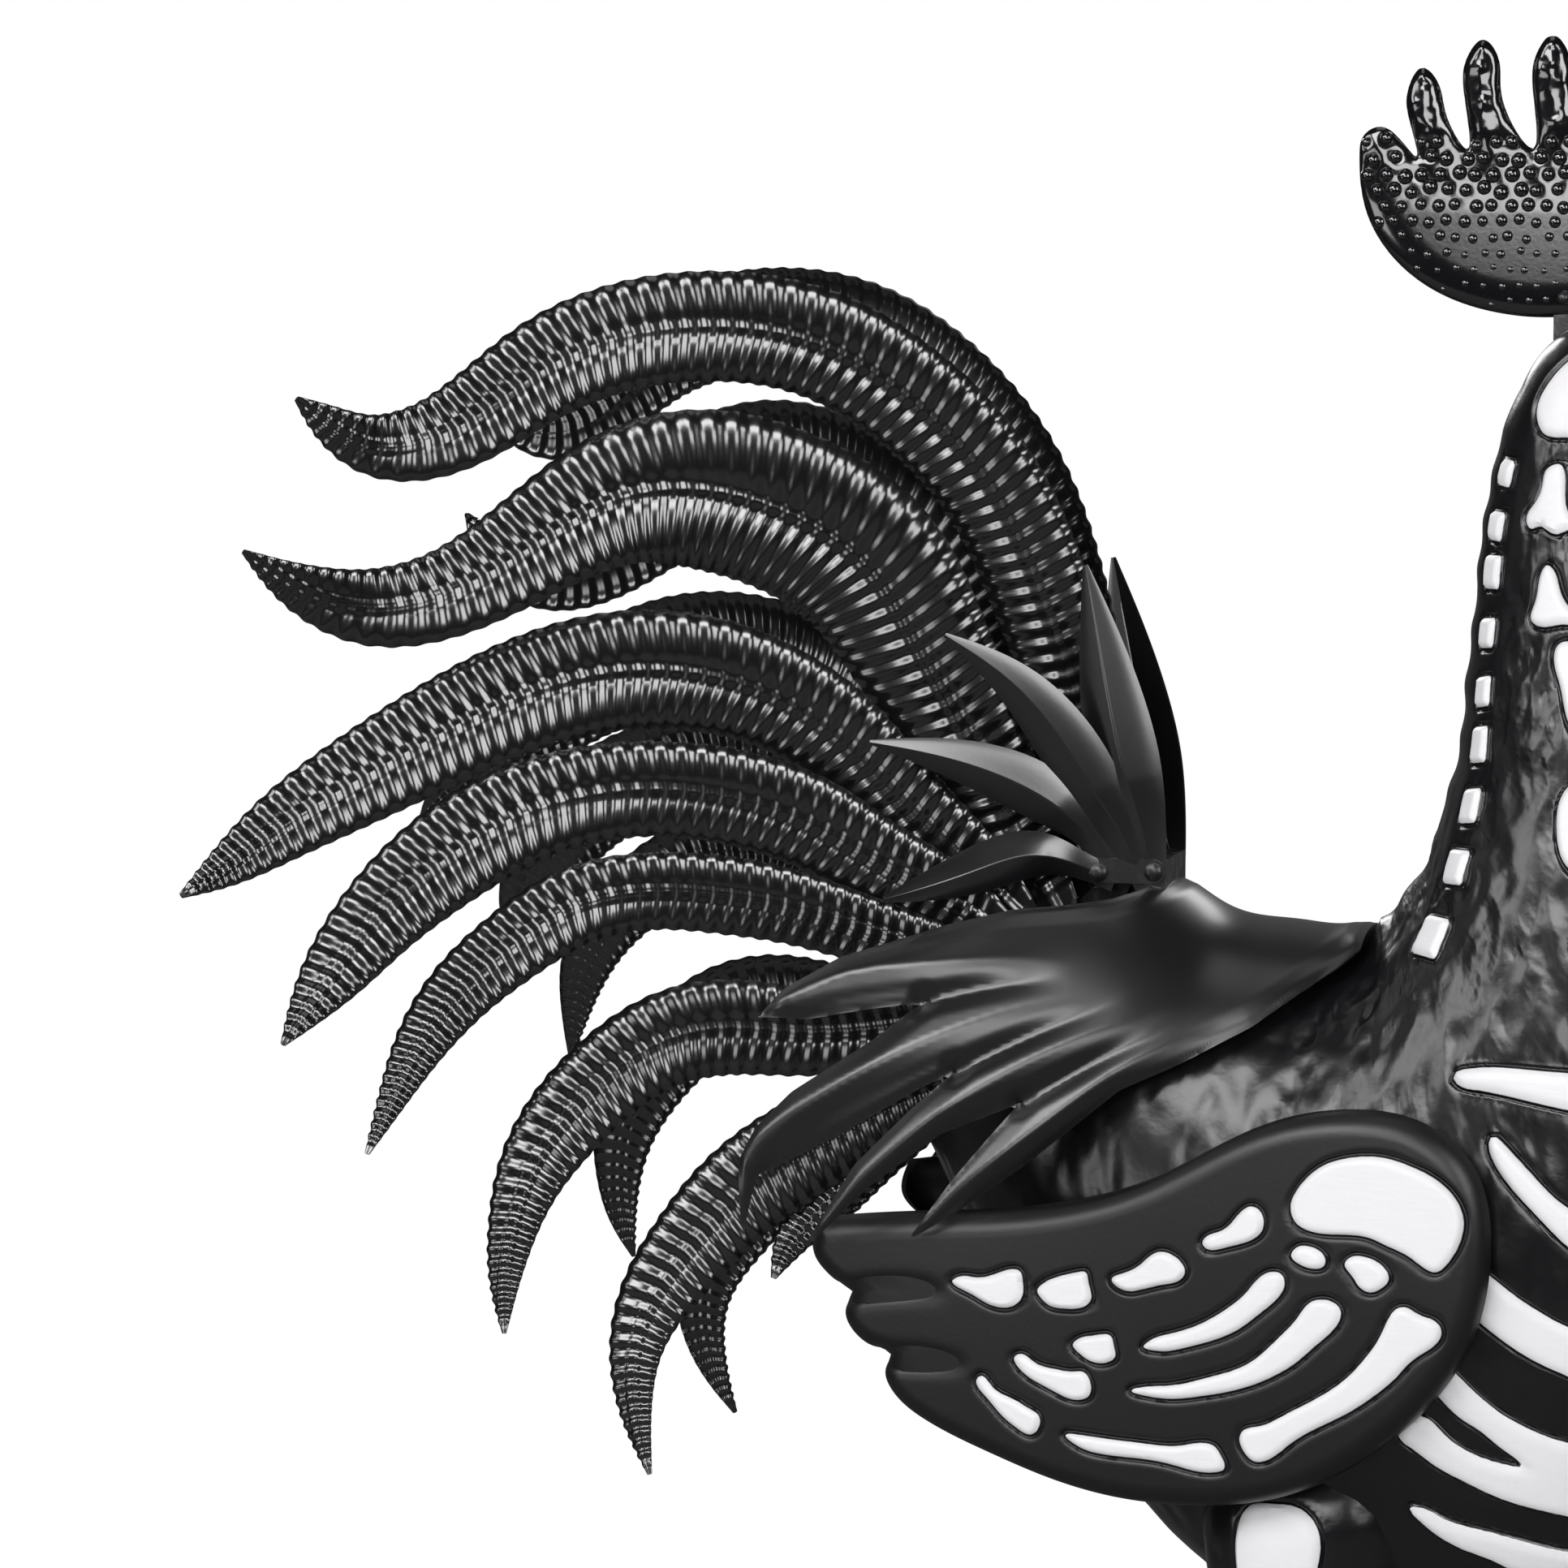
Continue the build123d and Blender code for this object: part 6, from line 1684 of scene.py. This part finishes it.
class ROOSTER_OT_face(bpy.types.Operator):
    """Build beak, wattles and eyes."""
    bl_idname = "rooster.face"
    bl_label = "Build the face"

    def execute(self, context):
        last = body_station_shares[-1]
        back, front = on_body(last[0:2]), on_body(last[2:4])
        self.root = (back + front) / 2
        self.depth = np.linalg.norm(front - back)
        self.lean = (front - back) / self.depth
        self.half_width = last[4] * body_half_width
        self.beak()
        for side in (RIGHT, LEFT):
            self.wattle(side)
            self.eye(side)
        return {"FINISHED"}

    def beak(self):
        rows = [(0.0, *(self.root - self.lean * self.depth / 2),
                 *(self.root + self.lean * self.depth / 2), self.half_width)]
        for reach, top, bottom, width in beak_station_shares:
            x = self.root[0] + reach * beak_length
            rows.append((reach * beak_length, x, self.root[1] + top * self.depth,
                         x, self.root[1] + bottom * self.depth, width * self.half_width))
        rows = SmoothCurve(rows).even(beak_rows)
        turn = circle(beak_columns)
        middle, down = (rows[:, 1:3] + rows[:, 3:5]) / 2, (rows[:, 3:5] - rows[:, 1:3]) / 2
        grid = np.zeros((beak_rows, beak_columns, 3))
        ridge = 1 - 0.10 * np.abs(np.sin(2 * turn))
        grid[..., 0] = middle[:, :1] - down[:, :1] * np.cos(turn) * ridge
        grid[..., 2] = middle[:, 1:] - down[:, 1:] * np.cos(turn) * ridge
        grid[..., 1] = rows[:, 5:] * np.sin(turn) * ridge
        gape = self.root[1] + gape_share * self.depth
        upper, lower = grid.copy(), grid.copy()
        upper[..., 2] = np.maximum(upper[..., 2], gape + gape_half)
        lower[..., 2] = np.minimum(lower[..., 2], gape - gape_half)
        lower[..., 0] = np.minimum(lower[..., 0], self.root[0] + lower_beak_share * beak_length)
        for name, half in (("beak_upper", upper), ("beak_lower", lower)):
            piece("horn_" + name, (name,), *tube(half), "leg", "leg_paint", sharp=35,
                  outwards=True)

    def wattle(self, side):
        top = self.root + np.array([0.30 * beak_length, -0.33 * self.depth])
        outline = closed_curve(
            top + np.array(wattle_shares) * np.array([wattle_width, wattle_length]), 160)
        heart = outline.mean(0)
        rings = np.concatenate([np.linspace(0.03, 0.8, 26), np.linspace(0.8, 1.0, 14)[1:]])
        flat = heart + (outline - heart)[None] * rings[:, None, None]
        spots = np.concatenate([[heart], flat.reshape(-1, 2)])
        depth = np.maximum(inside_distance(spots, outline, 0.05), 0)
        swell = 0.0045 * np.sqrt(np.clip(1 - (1 - np.minimum(depth / 0.010, 1)) ** 2, 0, 1))
        dimple = 0.0006 * np.sin(spots[:, 0] / 0.0028) * np.sin(spots[:, 1] / 0.0028)
        swell = swell + dimple * smooth_step(depth, 0.002, 0.006)
        fan = ring_fan(len(outline), len(rings))
        outer, inner = (
            np.column_stack([spots[:, 0], -wattle_out - 0.0006 + way * swell * 0.5, spots[:, 1]])
            for way in (-1, 1))
        points, faces = joined([(outer, fan), (inner, [face[::-1] for face in fan])])
        name = "wattle_" + side_name(side)
        piece("swollen_" + name, (name,), *on_side(points, faces, side), "comb", "comb_paint",
              outwards=True)

    def eye(self, side):
        name = "eye_" + side_name(side)
        low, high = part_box("eye_" + side_name(side))
        centre = (low + high) / 2
        outer = high.y if side == LEFT else -low.y
        inner = -high.y if side == RIGHT else low.y
        rings = np.concatenate([[(inner, 0.0130)], eye_rings + (outer - eye_height, 0.0)])
        outs, radii, around = rings[:, :1], rings[:, 1:], circle(48)
        grid = np.stack([centre.x + radii * np.cos(around), np.repeat(side * outs, 48, 1),
                         centre.z + radii * np.sin(around)], -1)
        made = piece("round_" + name, (name,), *tube(grid), "eye", "eye_paint", outwards=True)
        made.data.materials.append(finishes["comb"])
        for face in made.data.polygons:
            away = math.hypot(face.center.x - centre.x, face.center.z - centre.z)
            face.material_index = int(away < iris_radius)


# Fasteners and the rest


# Heads and nuts of each row: node, what it sits on, distance from the middle plane, radius,
# height, sides and side of the bird
fastener_rows = [
    ("covert_bolts", "plumes", 0.0272, 0.0048, 0.0036, 28, RIGHT),
    ("covert_nuts", "plumes", 0.0272, 0.0048, 0.0045, 6, LEFT),
    ("comb_screws", "comb", 0.0070, 0.0032, 0.0036, 24, RIGHT),
    ("comb_nuts", "comb", 0.0070, 0.0032, 0.0045, 6, LEFT),
]
fastener_spots = {
    "plumes": covert_spots,
    "comb": [(comb_start[0] + share * comb_length, comb_start[1] + 0.008)
             for share in (0.49, 0.70)],
}
rod_share, rod_chamfer_share, rod_end, rod_chamfer = 0.62, 0.8, 0.0048, 0.0006
frame_finishes = {
    "steel": ("neck_collar", "leg_mount_plate", "leg_collars", "tail_bulkhead", "bracket_screws",
              "wing_studs", "saddle_pegs"),
    "bolt": ("tail_spacers", "tail_hub_bolts", "tail_hub_nuts", "tail_bracket", "covert_spacers",
             "covert_bracket", "comb_tabs"),
}


def fastener_tree():
    """Geometry nodes that set a domed bolt head, or a nut, on every point of a mesh."""
    tree = shape_group("Fastener heads", {
        "Spots": "Geometry", "Radius": "Float", "Height": "Float", "Sides": "Int",
        "Turn": "Vector"}, "Heads")
    given = tree.given
    drum = tree.add("GeometryNodeMeshCylinder", (
        ("Vertices", given["Sides"]), ("Side Segments", 3), ("Fill Segments", 3),
        ("Radius", given["Radius"]), ("Depth", given["Height"])))
    spot = tree.add("GeometryNodeInputPosition")
    x, y, z = (tree.add("ShaderNodeSeparateXYZ", ((0, spot),), output=axis) for axis in range(3))
    away = tree.add("ShaderNodeVectorMath",
                    ((0, tree.add("ShaderNodeCombineXYZ", ((0, x), (1, y)))),), output="Value",
                    operation="LENGTH")
    reach = tree.maths("DIVIDE", away, given["Radius"])
    sink = tree.times(tree.maths("POWER", reach, 3.0), given["Height"],
                      tree.maths("GREATER_THAN", z, 0.0), -0.42)
    domed = tree.add("GeometryNodeSetPosition", (
        ("Geometry", drum), ("Offset", tree.add("ShaderNodeCombineXYZ", ((2, sink),)))))
    points = tree.add("GeometryNodeMeshToPoints", (("Mesh", given["Spots"]),))
    return real_and_painted(tree, tree.add(
        "GeometryNodeInstanceOnPoints",
        (("Points", points), ("Instance", domed), ("Rotation", given["Turn"]))))


class ROOSTER_OT_fasteners(bpy.types.Operator):
    """Build the bolt heads, bolts and nuts that show, and dress the other frame pieces."""
    bl_idname = "rooster.fasteners"
    bl_label = "Build the fasteners"

    def execute(self, context):
        tree = fastener_tree()
        for name, seat, out, radius, height, sides, side in fastener_rows:
            spots = fastener_spots[seat]
            mesh = bpy.data.meshes.new("Spots")
            mesh.from_pydata([(x, side * (out + height / 2), z) for x, z in spots], [], [])
            parts = [run_tree(mesh, tree, radius=radius, height=height, sides=sides,
                              turn=(-side * math.pi / 2, 0.0, 0.0), paint=finishes["bolt"])]
            if side == RIGHT:
                parts += [self.rod(x, z, out, radius * rod_share) for x, z in spots]
            piece("turned_" + name, (name,), *joined(parts), "bolt", "fastener_paint", sharp=35,
                  outwards=True)
        for finish, names in frame_finishes.items():
            for name in names:
                materials = nodes[name].data.materials
                materials.clear()
                materials.append(finishes[finish])
        return {"FINISHED"}

    def rod(self, x, z, out, radius):
        """A plain bolt shank right through, with a chamfered end."""
        around = circle(24)
        stops = np.array([[-out], [out + rod_end - rod_chamfer], [out + rod_end]])
        widths = np.array([[radius], [radius], [radius * rod_chamfer_share]])
        return tube(np.stack([x + widths * np.cos(around), np.repeat(stops, 24, 1),
                              z + widths * np.sin(around)], -1))


# Panel and run


operators = (
    ROOSTER_OT_paints, ROOSTER_OT_stage, ROOSTER_OT_body, ROOSTER_OT_tail, ROOSTER_OT_coverts,
    ROOSTER_OT_saddle, ROOSTER_OT_wings, ROOSTER_OT_comb, ROOSTER_OT_legs, ROOSTER_OT_face,
    ROOSTER_OT_fasteners,
)


class ROOSTER_PT_panel(bpy.types.Panel):
    """Lists the rooster's sizes, paints and pieces."""
    bl_idname = "ROOSTER_PT_panel"
    bl_label = "Rooster"
    bl_space_type = "VIEW_3D"
    bl_region_type = "UI"
    bl_category = "Rooster"

    def draw(self, context):
        for group in (context.scene.rooster_sizes, context.scene.rooster_paints):
            for name in group.__annotations__:
                self.layout.prop(group, name)
        for operator in operators:
            self.layout.operator(operator.bl_idname)


def register():
    for kind in (RoosterSizes, RoosterPaints, *operators, ROOSTER_PT_panel):
        bpy.utils.register_class(kind)
    bpy.types.Scene.rooster_sizes = PointerProperty(type=RoosterSizes)
    bpy.types.Scene.rooster_paints = PointerProperty(type=RoosterPaints)


def unregister():
    del bpy.types.Scene.rooster_paints
    del bpy.types.Scene.rooster_sizes
    for kind in (ROOSTER_PT_panel, *reversed(operators), RoosterPaints, RoosterSizes):
        bpy.utils.unregister_class(kind)


def main():
    register()
    for operator in operators:
        area, name = operator.bl_idname.split(".")
        getattr(getattr(bpy.ops, area), name)()


if __name__ == "__main__":
    main()
